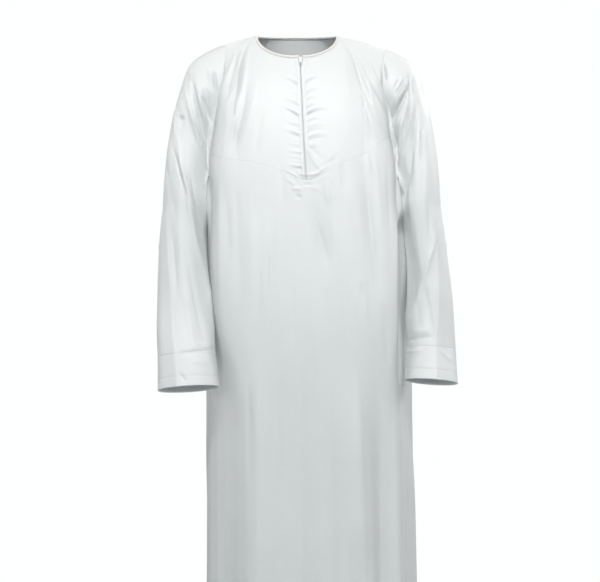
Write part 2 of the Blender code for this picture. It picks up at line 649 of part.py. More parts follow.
def slider_and_pull(metal, pull_metal, collection, cutters):
    seat, up, out = zip_frame()
    face = LOOP_OPEN_Y / 2                       # the slider's front face, behind the hinge
    hinge = seat + up * 0.0020 + out * (0.0006 + (face + 0.0) * MM)
    frame = Matrix(
        (
            (1.0, out[0], up[0], hinge[0]),
            (0.0, out[1], up[1], hinge[1]),
            (0.0, out[2], up[2], hinge[2]),
            (0.0, 0.0, 0.0, 1.0),
        )
    )
    flip = frame.to_3x3().determinant() < 0

    body = bpy.data.meshes.new("zip_slider")
    bm = bmesh.new()
    box_mesh(bm, (SLIDER_WIDE, SLIDER_THICK, SLIDER_TALL), (0, -face - SLIDER_THICK / 2, -1.0))
    bmesh.ops.bevel(
        bm, geom=list(bm.edges), offset=0.45, segments=2, profile=0.6, affect="EDGES", clamp_overlap=True
    )
    bm.to_mesh(body)
    bm.free()
    slider = link("zip_slider", body, metal, collection)

    loop_mesh = bpy.data.meshes.new("slider_loop")
    bm = bmesh.new()
    outer_y, outer_z = LOOP_OPEN_Y + 2 * LOOP_WALL, LOOP_OPEN_Z + 2 * LOOP_WALL
    box_mesh(bm, (LOOP_WIDE, outer_y, outer_z), (0, 0, 0))
    bmesh.ops.bevel(
        bm,
        geom=[e for e in bm.edges if abs((e.verts[0].co - e.verts[1].co).x) > 0.5],
        offset=1.1, segments=4, profile=0.5, affect="EDGES",
    )
    bm.to_mesh(loop_mesh)
    bm.free()
    loop = link("slider_loop", loop_mesh, metal, cutters)

    eye_mesh = bpy.data.meshes.new("slider_loop_opening")
    bm = bmesh.new()
    box_mesh(bm, (LOOP_WIDE * 3, LOOP_OPEN_Y, LOOP_OPEN_Z), (0, 0, 0))
    bm.to_mesh(eye_mesh)
    bm.free()
    eye = link("slider_loop_opening", eye_mesh, metal, cutters)

    for tool, how in ((loop, "UNION"), (eye, "DIFFERENCE")):
        tool.hide_render = True
        tool.display_type = "WIRE"
        step = slider.modifiers.new(how.title(), "BOOLEAN")
        step.object = tool
        step.operation = how
        step.solver = "EXACT"

    pull_mesh = bpy.data.meshes.new("zip_pull")
    outline = bpy.data.curves.new("zip_pull_outline", "CURVE")
    outline.dimensions = "2D"
    outline.fill_mode = "BOTH"
    outline.extrude = PULL_THICK / 2
    top, half, waist = BAR / 2 + 0.15, PULL_WIDE / 2, 1.75
    tail = top - PULL_LONG
    shape = table(
        "x z",
        (half - 0.5, top), (half, top - 0.5), (half, -EYE_LONG - 0.6), (waist, -EYE_LONG - 1.6),
        (waist, tail + 1.3), (waist - 0.6, tail + 0.4), (0.0, tail),
        (-waist + 0.6, tail + 0.4), (-waist, tail + 1.3), (-waist, -EYE_LONG - 1.6),
        (-half, -EYE_LONG - 0.6), (-half, top - 0.5), (-half + 0.5, top),
    )
    hole = table(
        "x z",
        (EYE_WIDE / 2, -BAR / 2), (EYE_WIDE / 2, -BAR / 2 - EYE_LONG + 0.6),
        (EYE_WIDE / 2 - 0.6, -BAR / 2 - EYE_LONG),
        (-EYE_WIDE / 2 + 0.6, -BAR / 2 - EYE_LONG), (-EYE_WIDE / 2, -BAR / 2 - EYE_LONG + 0.6),
        (-EYE_WIDE / 2, -BAR / 2),
    )
    for points in (shape, hole):
        spline = outline.splines.new("POLY")
        spline.points.add(len(points["x"]) - 1)
        for point, x, z in zip(spline.points, points["x"], points["z"]):
            point.co = (x, z, 0.0, 1.0)
        spline.use_cyclic_u = True
    drawn = bpy.data.objects.new("zip_pull_outline", outline)
    cutters.objects.link(drawn)
    bpy.context.view_layer.update()
    pull_mesh = bpy.data.meshes.new_from_object(drawn.evaluated_get(bpy.context.evaluated_depsgraph_get()))
    bpy.data.objects.remove(drawn, do_unlink=True)
    pull_mesh.name = "zip_pull"
    bm = bmesh.new()
    bm.from_mesh(pull_mesh)
    bmesh.ops.remove_doubles(bm, verts=bm.verts, dist=0.0005)
    bmesh.ops.rotate(bm, verts=bm.verts, cent=(0, 0, 0), matrix=Matrix.Rotation(math.pi / 2, 3, "X"))
    bmesh.ops.recalc_face_normals(bm, faces=bm.faces)
    bm.to_mesh(pull_mesh)
    bm.free()
    pull_mesh.materials.clear()
    pull = link("zip_pull", pull_mesh, pull_metal, collection)

    for mesh in (body, loop_mesh, eye_mesh, pull_mesh):
        mesh.transform(Matrix.Scale(MM, 4))
        if flip:
            mesh.flip_normals()
        mesh.set_sharp_from_angle(angle=math.radians(35))
    turn = frame.copy()
    turn.translation = Vector((0, 0, 0))
    for mesh in (body, loop_mesh, eye_mesh, pull_mesh):
        mesh.transform(turn)
    for obj in (slider, loop, eye, pull):
        obj.location = frame.translation
    return slider, pull


def pocket_welt(mat, collection):
    """The stitched end of the side pocket's opening, lying on the side panel's front edge."""
    shares = np.linspace(0.05, 0.24, 4)
    z = np.linspace(-0.548, -0.700, 7)[:, None]
    p = skirt(side_angles(1, z, shares), z)
    normal = unit(np.cross(
        skirt(side_angles(1, z - 0.004, shares), z - 0.004) - p,
        skirt(side_angles(1, z, shares + 0.03), z) - p,
    ))
    grid = p + normal * (CLOTH / 2 + 0.0012 + 0.0005)
    return cloth_panel("pocket_welt", grid, mat, collection, wall=0.0010)


def main():
    clear_scene()
    parts = bpy.data.collections.new("thobe_robe")
    cutters = bpy.data.collections.new("cutters")
    bpy.context.scene.collection.children.link(parts)
    bpy.context.scene.collection.children.link(cutters)

    white = (0.84, 0.86, 0.85)
    cloth = {
        name: material(name + "_cloth", white, 0.55, sheen=0.15)
        for name in (
            "front_yoke_right", "front_yoke_left", "front_panel", "back_panel", "side_panel_right",
            "side_panel_left", "sleeve_right", "sleeve_left", "cuff_right", "cuff_left", "pocket_welt",
        )
    }
    binding = material("neck_binding_cloth", (0.86, 0.84, 0.79), 0.6)
    tape = material("zip_tape_weave", (0.80, 0.81, 0.82), 0.7)
    slider_metal = material("zip_slider_enamel", (0.72, 0.74, 0.78), 0.35, 0.3)
    pull_metal = material("zip_pull_enamel", (0.76, 0.78, 0.82), 0.35, 0.3)

    cloth_panel("front_yoke_right", yoke_grid(-1), cloth["front_yoke_right"], parts, flip=True)
    cloth_panel("front_yoke_left", yoke_grid(1), cloth["front_yoke_left"], parts)
    cloth_panel("front_panel", front_panel_grid(), cloth["front_panel"], parts)
    cloth_panel("back_panel", back_panel_grid(), cloth["back_panel"], parts, flip=True)
    cloth_panel("side_panel_right", side_panel_grid(-1), cloth["side_panel_right"], parts, flip=True)
    cloth_panel("side_panel_left", side_panel_grid(1), cloth["side_panel_left"], parts)
    for side, name in ((-1, "right"), (1, "left")):
        flip = side > 0
        cloth_panel("sleeve_" + name, sleeve_grid(side), cloth["sleeve_" + name], parts, True, flip)
        cloth_panel("cuff_" + name, cuff_grid(side), cloth["cuff_" + name], parts, True, flip)
    neck_binding(binding, parts)
    zip_tape(tape, parts)
    slider_and_pull(slider_metal, pull_metal, parts, cutters)
    pocket_welt(cloth["pocket_welt"], parts)


main()
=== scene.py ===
"""The looks of the thobe robe: fine cloth pieces, stitching, zip, materials, light and camera.

The cloth pieces follow the same tables and sections as the CAD model's panels, on a fine grid,
with the small folds, puckers, seams, hems and stitches added from the tables below.
"""

import math

import bmesh
import bpy
import numpy as np
from mathutils import Matrix, Vector


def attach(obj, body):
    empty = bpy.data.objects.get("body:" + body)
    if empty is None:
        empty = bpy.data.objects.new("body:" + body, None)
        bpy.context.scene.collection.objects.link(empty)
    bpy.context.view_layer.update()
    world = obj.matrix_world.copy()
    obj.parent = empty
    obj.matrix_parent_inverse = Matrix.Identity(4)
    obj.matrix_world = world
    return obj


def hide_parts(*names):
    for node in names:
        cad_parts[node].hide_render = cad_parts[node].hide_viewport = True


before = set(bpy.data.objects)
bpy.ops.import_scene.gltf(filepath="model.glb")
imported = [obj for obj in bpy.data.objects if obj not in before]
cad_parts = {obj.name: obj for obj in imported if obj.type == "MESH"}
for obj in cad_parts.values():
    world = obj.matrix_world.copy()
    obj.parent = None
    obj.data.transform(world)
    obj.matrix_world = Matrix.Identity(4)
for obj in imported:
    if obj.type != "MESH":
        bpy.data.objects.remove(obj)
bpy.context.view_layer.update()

# ------------------------------------------------------------------ driving sizes, metres
LENGTH = 1.42            # top of shoulder to hem
CLOTH = 0.0015           # wall of the cloth
SEAM = 0.0010            # gap between the middles of two walls at a seam, 0.3 to 0.5 between them
RIDGE_SEAM = 0.0024      # the same where two panels meet at an angle, along the shoulder
ARMHOLE_GAP = 0.0018     # and where the sleeve is set in
UNDERARM = -0.285        # height of the underarm point
FRONT_DIP = 0.050        # the row at underarm level hangs lower at the centre front
BACK_DIP = 0.020

NECK_X = -0.006          # the neck sits a little to the wearer's right of the hem's middle
NECK_HALF = 0.0785       # half the width of the neck opening
NECK_FRONT = 0.068       # how far the front neckline lies ahead of the shoulder line
NECK_BACK = 0.060
NECK_DROP = 0.049        # centre front of the neckline, below its sides
NECK_RISE = 0.006        # centre back of the neckline, above its sides
NECK_SIDE = -0.006       # height of the neckline's sides
NECK_SHARE = 0.43        # share of the panel's half width that the neckline takes
BINDING = 0.0052         # height of the bound edge
BINDING_WALL = 0.0024

SHOULDER_RIGHT = (-0.150, 0.004, -0.0240)   # top of the wearer's right armhole
SHOULDER_LEFT = (0.171, 0.004, -0.0335)     # top of the wearer's left armhole

SLIT = 0.024             # the zip's slit, as a share of the panel's half width
SLIT_HALF = 0.0007       # half the slit's width where it is closed
SLIT_MOUTH = 0.0036      # half its width at the slider
SLIT_LENGTH = 0.206

NECK_COLUMNS = 5         # columns of faces on each half of the neckline
SHOULDER_STEP = 0.070    # a narrow column beside the neck, then the shoulder's own
SHOULDER_COLUMNS = 4
SIDE_COLUMNS = 4
YOKE_SHARES = (0.0, 0.045, 0.10, 0.17, 0.33, 0.55, 0.78, 1.0)   # rows, from neck to pointed seam
UNDER_YOKE_ROWS = 2
BACK_ROWS = 9            # rows of the back above the underarm
SKIRT_ROWS = 19


def table(columns, *rows):
    """A short table: named columns, a row for each section or fold."""
    return {name: np.array([row[i] for row in rows], float) for i, name in enumerate(columns.split())}


# Sections of the body from the underarm to the hem.  z is the height, mid the middle of the
# section, right and left its half widths, front and back its depths, square how boxy it is,
# flat how level its front and back are, lean how much wider it is behind than in front, and
# the seams are the angles from the centre front at which the panels meet.
BODY = table(
    "z mid right left front back square flat lean seam_fr seam_fl seam_br seam_bl",
    (-0.285, 0.003, 0.179, 0.183, 0.131, 0.120, 0.50, 0.26, 0.000, 69, 67, 112, 112),
    (-0.345, 0.006, 0.188, 0.1945, 0.1325, 0.118, 0.54, 0.32, 0.018, 63, 58, 116, 117),
    (-0.460, 0.010, 0.196, 0.208, 0.137, 0.118, 0.56, 0.34, 0.023, 56, 46, 119, 122),
    (-0.590, 0.012, 0.194, 0.203, 0.137, 0.122, 0.56, 0.32, 0.034, 56, 50, 120, 123),
    (-0.660, 0.013, 0.192, 0.202, 0.131, 0.125, 0.54, 0.30, 0.040, 55, 53, 120, 123),
    (-0.720, 0.015, 0.195, 0.203, 0.127, 0.128, 0.50, 0.26, 0.038, 55, 55, 121, 123),
    (-0.820, 0.018, 0.203, 0.206, 0.123, 0.134, 0.40, 0.20, 0.030, 54, 55, 122, 124),
    (-1.100, 0.023, 0.210, 0.210, 0.122, 0.142, 0.24, 0.14, 0.018, 56, 53, 122, 125),
    (-1.420, 0.025, 0.222, 0.222, 0.126, 0.155, 0.16, 0.12, 0.012, 57, 53, 122, 125),
)

# The pointed seam under the yoke: across is the share of the panel's half width.
POINTED_SEAM = table(
    "across z",
    (-1.00, -0.2475),
    (-0.62, -0.2595),
    (-0.30, -0.2690),
    (-0.09, -0.2880),
    (0.024, -0.3020),
    (0.12, -0.2925),
    (0.22, -0.2740),
    (0.50, -0.2420),
    (0.66, -0.2260),
    (1.00, -0.2130),
)

# Sections of the sleeves from the upper arm to the wrist.  out is the distance of the
# section's middle from x = 0, half its half width seen from the front, y and deep the same
# from the side, rise how much its front edge lies above its back, drop how much its outer
# edge lies below its inner one.
SLEEVE_RIGHT = table(
    "z out half y deep rise drop",
    (-0.345, 0.2278, 0.0443, -0.020, 0.068, 0.000, 0.004),
    (-0.390, 0.2318, 0.0448, -0.023, 0.066, 0.000, 0.003),
    (-0.440, 0.2337, 0.0457, -0.028, 0.064, 0.002, 0.002),
    (-0.540, 0.2302, 0.0508, -0.050, 0.058, 0.006, 0.002),
    (-0.600, 0.2258, 0.0542, -0.073, 0.054, 0.007, 0.002),
    (-0.643, 0.2205, 0.0560, -0.092, 0.051, 0.008, 0.003),
    (-0.705, 0.2155, 0.0585, -0.116, 0.049, 0.009, 0.004),
)
SLEEVE_LEFT = table(
    "z out half y deep rise drop",
    (-0.345, 0.2405, 0.0385, -0.020, 0.068, 0.000, 0.004),
    (-0.390, 0.2480, 0.0377, -0.022, 0.066, 0.000, 0.003),
    (-0.440, 0.2543, 0.0373, -0.024, 0.064, 0.002, 0.002),
    (-0.540, 0.2590, 0.0430, -0.038, 0.058, 0.005, 0.002),
    (-0.590, 0.2580, 0.0460, -0.050, 0.054, 0.006, 0.002),
    (-0.630, 0.2575, 0.0480, -0.062, 0.051, 0.007, 0.003),
    (-0.693, 0.2560, 0.0510, -0.088, 0.049, 0.008, 0.004),
)
CUFF_RIGHT_TOP = -0.643
CUFF_LEFT_TOP = -0.630
# The pressed crease: its angle from the sleeve's outer side toward its front.
CREASE_RIGHT = table(
    "z angle",
    (-0.300, 44),
    (-0.345, 47),
    (-0.450, 60),
    (-0.520, 66),
    (-0.600, 68),
    (-0.705, 71),
)
CREASE_LEFT = table(
    "z angle",
    (-0.300, 49),
    (-0.345, 54),
    (-0.450, 69),
    (-0.550, 76),
    (-0.630, 83),
    (-0.693, 82),
)
CREASE_HEIGHT = 0.0030
CAP_SHARES = (0.0, 0.12, 0.24, 0.36, 0.54, 0.76, 1.0)   # rows of the sleeve's cap
SHOULDER_CORNER = 0.0085 # how far the cap stands out where the arm turns down
SLEEVE_ROWS = 8
CUFF_ROWS = 2

# The largest folds.  Each runs from (x0, z0) down to (x1, z1), width wide, and stands
# height proud of the panel, or sinks into it where height is negative.
FOLDS_FRONT = table(
    "x0 z0 x1 z1 width height",
    (-0.084, -0.540, -0.090, -1.440, 0.024, 0.0080),
    (-0.146, -0.500, -0.156, -1.440, 0.030, -0.0130),
    (-0.010, -0.640, -0.004, -1.440, 0.034, -0.0050),
    (0.078, -0.520, 0.096, -1.440, 0.030, 0.0080),
    (0.152, -0.600, 0.172, -1.440, 0.026, -0.0135),
    (0.184, -0.700, 0.196, -1.440, 0.012, 0.0055),
    (0.026, -0.340, 0.054, -0.470, 0.020, -0.0030),
    (0.118, -0.240, 0.142, -0.540, 0.018, -0.0045),
    (-0.120, -0.120, -0.140, -0.230, 0.014, 0.0050),
    (0.108, -0.110, 0.150, -0.240, 0.015, 0.0050),
)
FOLDS_BACK = table(
    "x0 z0 x1 z1 width height",
    (-0.128, -0.160, -0.140, -1.440, 0.020, -0.0085),
    (-0.070, -0.420, -0.088, -1.440, 0.022, 0.0100),
    (-0.018, -0.300, -0.022, -1.440, 0.024, -0.0080),
    (0.044, -0.480, 0.060, -1.440, 0.021, 0.0105),
    (0.092, -0.260, 0.116, -1.440, 0.020, -0.0085),
    (0.140, -0.620, 0.164, -1.440, 0.016, 0.0060),
)
# Folds down the side panels: y takes the place of x.
FOLDS_SIDE = table(
    "side y0 z0 y1 z1 width height",
    (-1, 0.010, -0.360, 0.020, -1.440, 0.022, -0.0100),
    (1, 0.020, -0.340, 0.030, -1.440, 0.022, -0.0095),
)


# ------------------------------------------------------------------ small mathematics
def smooth(x):
    x = np.clip(x, 0.0, 1.0)
    return x * x * (3 - 2 * x)


def curve(tab, key, column, at):
    """A smooth curve through a table's rows, read at one or many places."""
    x, y = tab[key], tab[column]
    if x[0] > x[-1]:
        x, y = x[::-1], y[::-1]
    slope = np.gradient(y, x)
    at = np.clip(at, x[0], x[-1])
    i = np.clip(np.searchsorted(x, at) - 1, 0, len(x) - 2)
    h = x[i + 1] - x[i]
    t = (at - x[i]) / h
    return (
        (1 + 2 * t) * (1 - t) ** 2 * y[i]
        + t * (1 - t) ** 2 * h * slope[i]
        + t * t * (3 - 2 * t) * y[i + 1]
        + t * t * (t - 1) * h * slope[i + 1]
    )


def unit(v):
    return v / np.maximum(np.linalg.norm(v, axis=-1, keepdims=True), 1e-12)


def hermite(p0, d0, p1, d1, t):
    t = t[..., None]
    return (
        (1 + 2 * t) * (1 - t) ** 2 * p0
        + t * (1 - t) ** 2 * d0
        + t * t * (3 - 2 * t) * p1
        + t * t * (t - 1) * d1
    )


def stack(x, y, z):
    return np.stack(np.broadcast_arrays(x, y, z), axis=-1)


# ------------------------------------------------------------------ the body's surface
def ring(phi, z):
    """The body's section at height z, phi degrees round from the centre front toward +X."""
    s, c = np.sin(np.radians(phi)), np.cos(np.radians(phi))
    wide = np.where(s < 0, curve(BODY, "z", "right", z), curve(BODY, "z", "left", z))
    deep = np.where(c > 0, curve(BODY, "z", "front", z), curve(BODY, "z", "back", z))
    square = curve(BODY, "z", "square", z)
    x = curve(BODY, "z", "mid", z) + wide * s * (1 + square * c * c)
    x = x - curve(BODY, "z", "lean", z) * s * np.abs(s) * c
    return stack(x, -deep * c * (1 + curve(BODY, "z", "flat", z) * s * s), z)


def ring_normal(phi, z):
    along = ring(phi + 0.5, z) - ring(phi - 0.5, z)
    down = ring(phi, z - 0.004) - ring(phi, z + 0.004)
    return unit(np.cross(down, along))


def front_angle(across, z):
    seam = np.where(across < 0, curve(BODY, "z", "seam_fr", z), curve(BODY, "z", "seam_fl", z))
    return across * seam


def back_angle(across, z):
    """across runs from the wearer's right to the left, as on the front."""
    seam = np.where(across < 0, curve(BODY, "z", "seam_br", z), curve(BODY, "z", "seam_bl", z))
    return np.where(across < 0, -180.0, 180.0) - across * (180.0 - seam)


def ridges(folds, side, at, z):
    """How far the folds of one table stand proud at (at, z)."""
    total = np.zeros(np.broadcast(at, z).shape)
    x0, x1 = ("y0", "y1") if "y0" in folds else ("x0", "x1")
    for i in range(len(folds["z0"])):
        if "side" in folds and folds["side"][i] != side:
            continue
        run = (folds["z0"][i] - z) / (folds["z0"][i] - folds["z1"][i])
        middle = folds[x0][i] + np.clip(run, 0, 1) * (folds[x1][i] - folds[x0][i])
        ends = smooth(run / 0.35) * (1 - smooth((run - 0.60) / 0.40) * (folds["z1"][i] > -LENGTH))
        total = total + folds["height"][i] * ends * np.exp(-(((at - middle) / folds["width"][i]) ** 2))
    return total


def lift(p):
    """Height of the cloth's folds at a point of the body."""
    x, y, z = p[..., 0], p[..., 1], p[..., 2]
    front = smooth((-y - 0.035) / 0.04) * ridges(FOLDS_FRONT, 0, x, z)
    back = smooth((y - 0.035) / 0.04) * ridges(FOLDS_BACK, 0, x, z)
    side = np.where(x < 0.01, ridges(FOLDS_SIDE, -1, y, z), ridges(FOLDS_SIDE, 1, y, z))
    return front + back + smooth((np.abs(x - 0.012) - 0.14) / 0.04) * side


def skirt(phi, z):
    p = ring(phi, z)
    return p + ring_normal(phi, z) * lift(p)[..., None]


def neckline(across, back=False):
    """A point of the neckline; across runs from -1 to 1 between its sides."""
    psi = across * math.pi / 2
    y = NECK_BACK * np.cos(psi) if back else -NECK_FRONT * np.cos(psi)
    z = NECK_SIDE + (NECK_RISE if back else -NECK_DROP) * np.cos(psi)
    return stack(NECK_X + NECK_HALF * np.sin(psi), y + 0.004 * np.abs(np.sin(psi)), z)


def top_edge(across, back=False):
    """The upper edge of the front or back: shoulder seam, neckline, shoulder seam."""
    neck = neckline(np.clip(across / NECK_SHARE, -1, 1), back)
    run = np.clip((np.abs(across) - NECK_SHARE) / (1 - NECK_SHARE), 0, 1)[..., None]
    tip = np.where((across < 0)[..., None], np.array(SHOULDER_RIGHT), np.array(SHOULDER_LEFT))
    side = neckline(np.sign(across), back)
    slope = side + (tip - side) * run + np.array((0, 0, 0.0025)) * np.sin(math.pi * run)
    return np.where((np.abs(across) <= NECK_SHARE)[..., None], neck, slope)


def yoke_start(across, back):
    """The direction in which the cloth leaves the upper edge, and how firmly.

    The lines fan outward beside the neck, where neckline and shoulder seam meet.
    """
    across = np.asarray(across, float)
    forward = np.full_like(across, 1.0 if back else -1.0)
    neck_way = stack(0 * across, forward * (0.30 if back else 0.42), -0.90 + 0 * across)
    side_way = stack(np.sign(across) * 0.66, forward * 0.62, -0.42 + 0 * across)
    arm_way = stack(np.where(across < 0, 0.10, -0.22), forward * 0.86, -0.50 + 0 * across)
    to_side = smooth(np.abs(across) / NECK_SHARE)[..., None]
    to_arm = smooth((np.abs(across) - NECK_SHARE) / (0.7 * (1 - NECK_SHARE)))[..., None]
    way = unit(neck_way + (side_way - neck_way) * to_side + (arm_way - side_way) * to_arm)
    return way * (0.26 + 0.02 * to_arm)


def upper_edge_of_skirt(across, back):
    return UNDERARM - (BACK_DIP if back else FRONT_DIP) * (1 - across**2)


def upper(across, t, back=False):
    """The body above the underarm: t runs from the upper edge (0) to the underarm row (1)."""
    across, t = np.broadcast_arrays(np.asarray(across, float), np.asarray(t, float))
    z = upper_edge_of_skirt(across, back)
    angle = back_angle if back else front_angle
    end = ring(angle(across, z), z)
    fall = (ring(angle(across, z - 0.01), z - 0.01) - end) / 0.01
    return hermite(top_edge(across, back), yoke_start(across, back), end, fall * 0.24, t)


def upper_folded(across, t, back=False):
    step = 0.01
    p = upper(across, t, back)
    sideways = upper(across + step, t, back) - upper(across - step, t, back)
    down = upper(across, np.clip(t + step, 0, 1), back) - upper(across, np.clip(t - step, 0, 1), back)
    out = unit(np.cross(down, sideways)) * (-1.0 if back else 1.0)
    return p + out * (lift(p) * smooth(t / 0.3))[..., None]


def seam_share(across):
    """t of the pointed seam in one column of the front."""
    t = np.linspace(0, 1, 161)
    grid = upper(np.asarray(across)[..., None], t)[..., 2]
    height = curve(POINTED_SEAM, "across", "z", across)
    return np.array([np.interp(-h, -col, t) for h, col in zip(height, grid)])


# ------------------------------------------------------------------ grids of points
def inset(grid, edge, gap):
    """Moves one edge of a grid inward, along the grid's own lines."""
    grid = grid.copy()
    view = {
        "top": (grid[0], grid[1]),
        "bottom": (grid[-1], grid[-2]),
        "first": (grid[:, 0], grid[:, 1]),
        "last": (grid[:, -1], grid[:, -2]),
    }[edge]
    view[0][...] += unit(view[1] - view[0]) * np.asarray(gap)[..., None]
    return grid


def skirt_grid(angle, columns, dip, rows=SKIRT_ROWS):
    """Rows from the underarm level to the hem, without the first one."""
    start = UNDERARM - dip * (1 - columns**2)
    share = np.linspace(0, 1, rows + 1)[1:, None]
    z = start + share * (-LENGTH - start)
    return skirt(angle(columns, z), z)


def slit_gap(z):
    """Half width of the slit: wide where the slider sits, closed a little lower."""
    below = (NECK_SIDE - NECK_DROP) - z
    mouth = SLIT_HALF + (SLIT_MOUTH - SLIT_HALF) * (1 - smooth((below - 0.010) / 0.018))
    return mouth


def half_columns(side, start):
    """Shares of the half width: the neckline, a narrow step beside it, the shoulder."""
    return np.concatenate(
        [
            np.linspace(start, side * NECK_SHARE, NECK_COLUMNS + 1),
            side * np.linspace(NECK_SHARE + SHOULDER_STEP, 1, SHOULDER_COLUMNS + 1),
        ]
    )


def neck_frame(across, back):
    """The neckline's direction, and the one that leaves it square within the cloth."""
    turn = np.asarray(across, float) / NECK_SHARE
    along = unit(neckline(turn + 0.01, back) - neckline(turn - 0.01, back))
    way = unit(yoke_start(across, back))
    square = unit(way - along * np.sum(way * along, axis=-1, keepdims=True))
    tip = np.where((turn < 0)[..., None], np.array(SHOULDER_RIGHT), np.array(SHOULDER_LEFT))
    shoulder = unit(tip - neckline(np.sign(turn), back))
    beside = smooth((np.abs(turn) - 0.6) / 0.4)[..., None]
    return way, unit(square + (shoulder - square) * beside)


def upper_start(columns, back=False):
    """t at which each line of the panel begins, just short of its upper edge."""
    at_neck = np.abs(columns) <= NECK_SHARE + 0.001
    way, square = neck_frame(np.clip(columns, -NECK_SHARE, NECK_SHARE), back)
    slant = np.sum(way * square, axis=-1)
    gap = np.where(at_neck, (BINDING + 0.0009) / slant, RIDGE_SEAM / 2)
    return gap / np.linalg.norm(yoke_start(columns, back), axis=-1)


def yoke_grid(side):
    columns = half_columns(side, SLIT)
    start = upper_start(columns)
    t = start + (seam_share(columns) - start) * np.array(YOKE_SHARES)[:, None]
    grid = upper_folded(columns, t)
    grid = inset(grid, "first", slit_gap(grid[:, 0, 2]))
    grid = inset(grid, "bottom", SEAM / 2)
    return inset(grid, "last", SEAM / 2)


def front_panel_grid():
    columns = np.concatenate([half_columns(-1, SLIT)[:0:-1], half_columns(1, SLIT)])
    share = seam_share(columns)
    t = share + (1 - share) * np.linspace(0, 1, UNDER_YOKE_ROWS + 1)[:, None]
    grid = np.concatenate([upper_folded(columns, t), skirt_grid(front_angle, columns, FRONT_DIP)])
    grid = inset(inset(grid, "first", SEAM / 2), "last", SEAM / 2)
    return inset(grid, "top", SEAM / 2)


def back_panel_grid():
    columns = np.concatenate([half_columns(-1, 0.0)[:0:-1], half_columns(1, 0.0)])
    start = upper_start(columns, True)
    t = start + (1 - start) * np.linspace(0, 1, BACK_ROWS + 1)[:, None]
    grid = np.concatenate([upper_folded(columns, t, True), skirt_grid(back_angle, columns, BACK_DIP)])
    return inset(inset(grid, "first", SEAM / 2), "last", SEAM / 2)


def side_angles(side, z, shares):
    tail = "r" if side < 0 else "l"
    start = curve(BODY, "z", "seam_f" + tail, z)
    end = curve(BODY, "z", "seam_b" + tail, z)
    return side * (start + shares * (end - start))


def side_panel_grid(side):
    shares = np.linspace(0, 1, SIDE_COLUMNS + 1)
    z = UNDERARM + np.linspace(0, 1, SKIRT_ROWS + 1)[:, None] * (-LENGTH - UNDERARM)
    grid = skirt(side_angles(side, z, shares), z)
    grid = inset(grid, "top", ARMHOLE_GAP / 2)
    return inset(inset(grid, "first", SEAM / 2), "last", SEAM / 2)


def armhole(side):
    """The closed edge that the sleeve is set into, from the shoulder down the front."""
    share = seam_share(np.array([float(side)]))[0]
    start = upper_start(np.array([float(side)]))[0]
    front = np.concatenate(
        [
            start + (share - start) * np.array(YOKE_SHARES),
            share + (1 - share) * np.linspace(0, 1, UNDER_YOKE_ROWS + 1)[1:],
        ]
    )
    back = np.linspace(1, start, BACK_ROWS + 1)
    at = np.full(1, float(side))
    under = np.linspace(0, 1, SIDE_COLUMNS + 1)[1:-1]
    return np.concatenate(
        [
            upper_folded(at, front[:, None])[:, 0],
            skirt(side_angles(side, np.full(1, UNDERARM), under), np.full_like(under, UNDERARM)),
            upper_folded(at, back[:, None], True)[:-1, 0],
        ]
    )


def armhole_angles():
    """Where each armhole point goes round the sleeve: 0 is its outer side, 90 its front."""
    front = 152 * np.concatenate([0.86 * np.array(YOKE_SHARES), np.linspace(0.86, 1, UNDER_YOKE_ROWS + 1)[1:]])
    under = np.linspace(152, 208, SIDE_COLUMNS + 1)[1:-1]
    back = np.linspace(208, 360, BACK_ROWS + 1)[:-1]
    return np.concatenate([front, under, back])


# ------------------------------------------------------------------ the sleeves' surface
def sleeve_section(side, theta, z, soft=14.0):
    """A sleeve's section: theta degrees from its outer side toward its front.

    soft is how many degrees the pressed crease takes to die away on each side.
    """
    tab = SLEEVE_RIGHT if side < 0 else SLEEVE_LEFT
    angle = curve(CREASE_RIGHT if side < 0 else CREASE_LEFT, "z", "angle", z)
    read = {name: curve(tab, "z", name, z) for name in ("out", "half", "y", "deep", "rise", "drop")}
    c, s = np.cos(np.radians(theta)), np.sin(np.radians(theta))
    off = np.abs((theta - angle + 180) % 360 - 180)
    crease = CREASE_HEIGHT * np.exp(-off / soft)
    x = side * (read["out"] + (read["half"] + crease) * c)
    y = read["y"] - (read["deep"] + crease) * s
    return stack(x, y, z + read["rise"] * s - read["drop"] * c)


def cap_form(side, theta, start, end, t):
    """The sleeve's cap from the armhole (t = 0) to the upper arm (1), bending over the shoulder."""
    upward = (1 + np.cos(np.radians(theta))) / 2
    front = np.sin(np.radians(theta))
    away = stack(side * (0.58 + 0.38 * upward), -0.22 * front, -0.76 + 0.53 * upward)
    firm = np.where(side < 0, 0.33, 0.275)
    leave = unit(away) * (0.048 + (firm - 0.048) * upward)[..., None]
    fall = stack(side * 0.03, 0.0 * front, -1.0 + 0 * front) * (0.07 + 0.25 * upward)[..., None]
    rows = hermite(start, leave, end, fall, t * np.ones_like(theta))
    corner = SHOULDER_CORNER * upward**5 * np.exp(-(((t - 0.25) / 0.11) ** 2))
    return rows + np.array((side * 0.72, 0.0, 0.69)) * corner[..., None]


def cap_rows(side):
    theta = armhole_angles()
    end = sleeve_section(side, theta, np.full_like(theta, SLEEVE_RIGHT["z"][0]))
    rows = cap_form(side, theta, armhole(side), end, np.array(CAP_SHARES)[:, None])
    upward = (1 + np.cos(np.radians(theta))) / 2
    rows[0] += np.array((side * 0.94, 0.0, -0.34)) * (ARMHOLE_GAP * (1.6 - 0.6 * upward))[:, None]
    rows[0, :, 2] -= 0.0010 * (1 - upward) ** 4
    return rows


def sleeve_grid(side):
    theta = armhole_angles()
    bottom = CUFF_RIGHT_TOP if side < 0 else CUFF_LEFT_TOP
    z = np.linspace(SLEEVE_RIGHT["z"][0], bottom, SLEEVE_ROWS + 1)[1:, None] * np.ones_like(theta)
    grid = np.concatenate([cap_rows(side), sleeve_section(side, theta, z)])
    return inset(grid, "bottom", SEAM / 2)


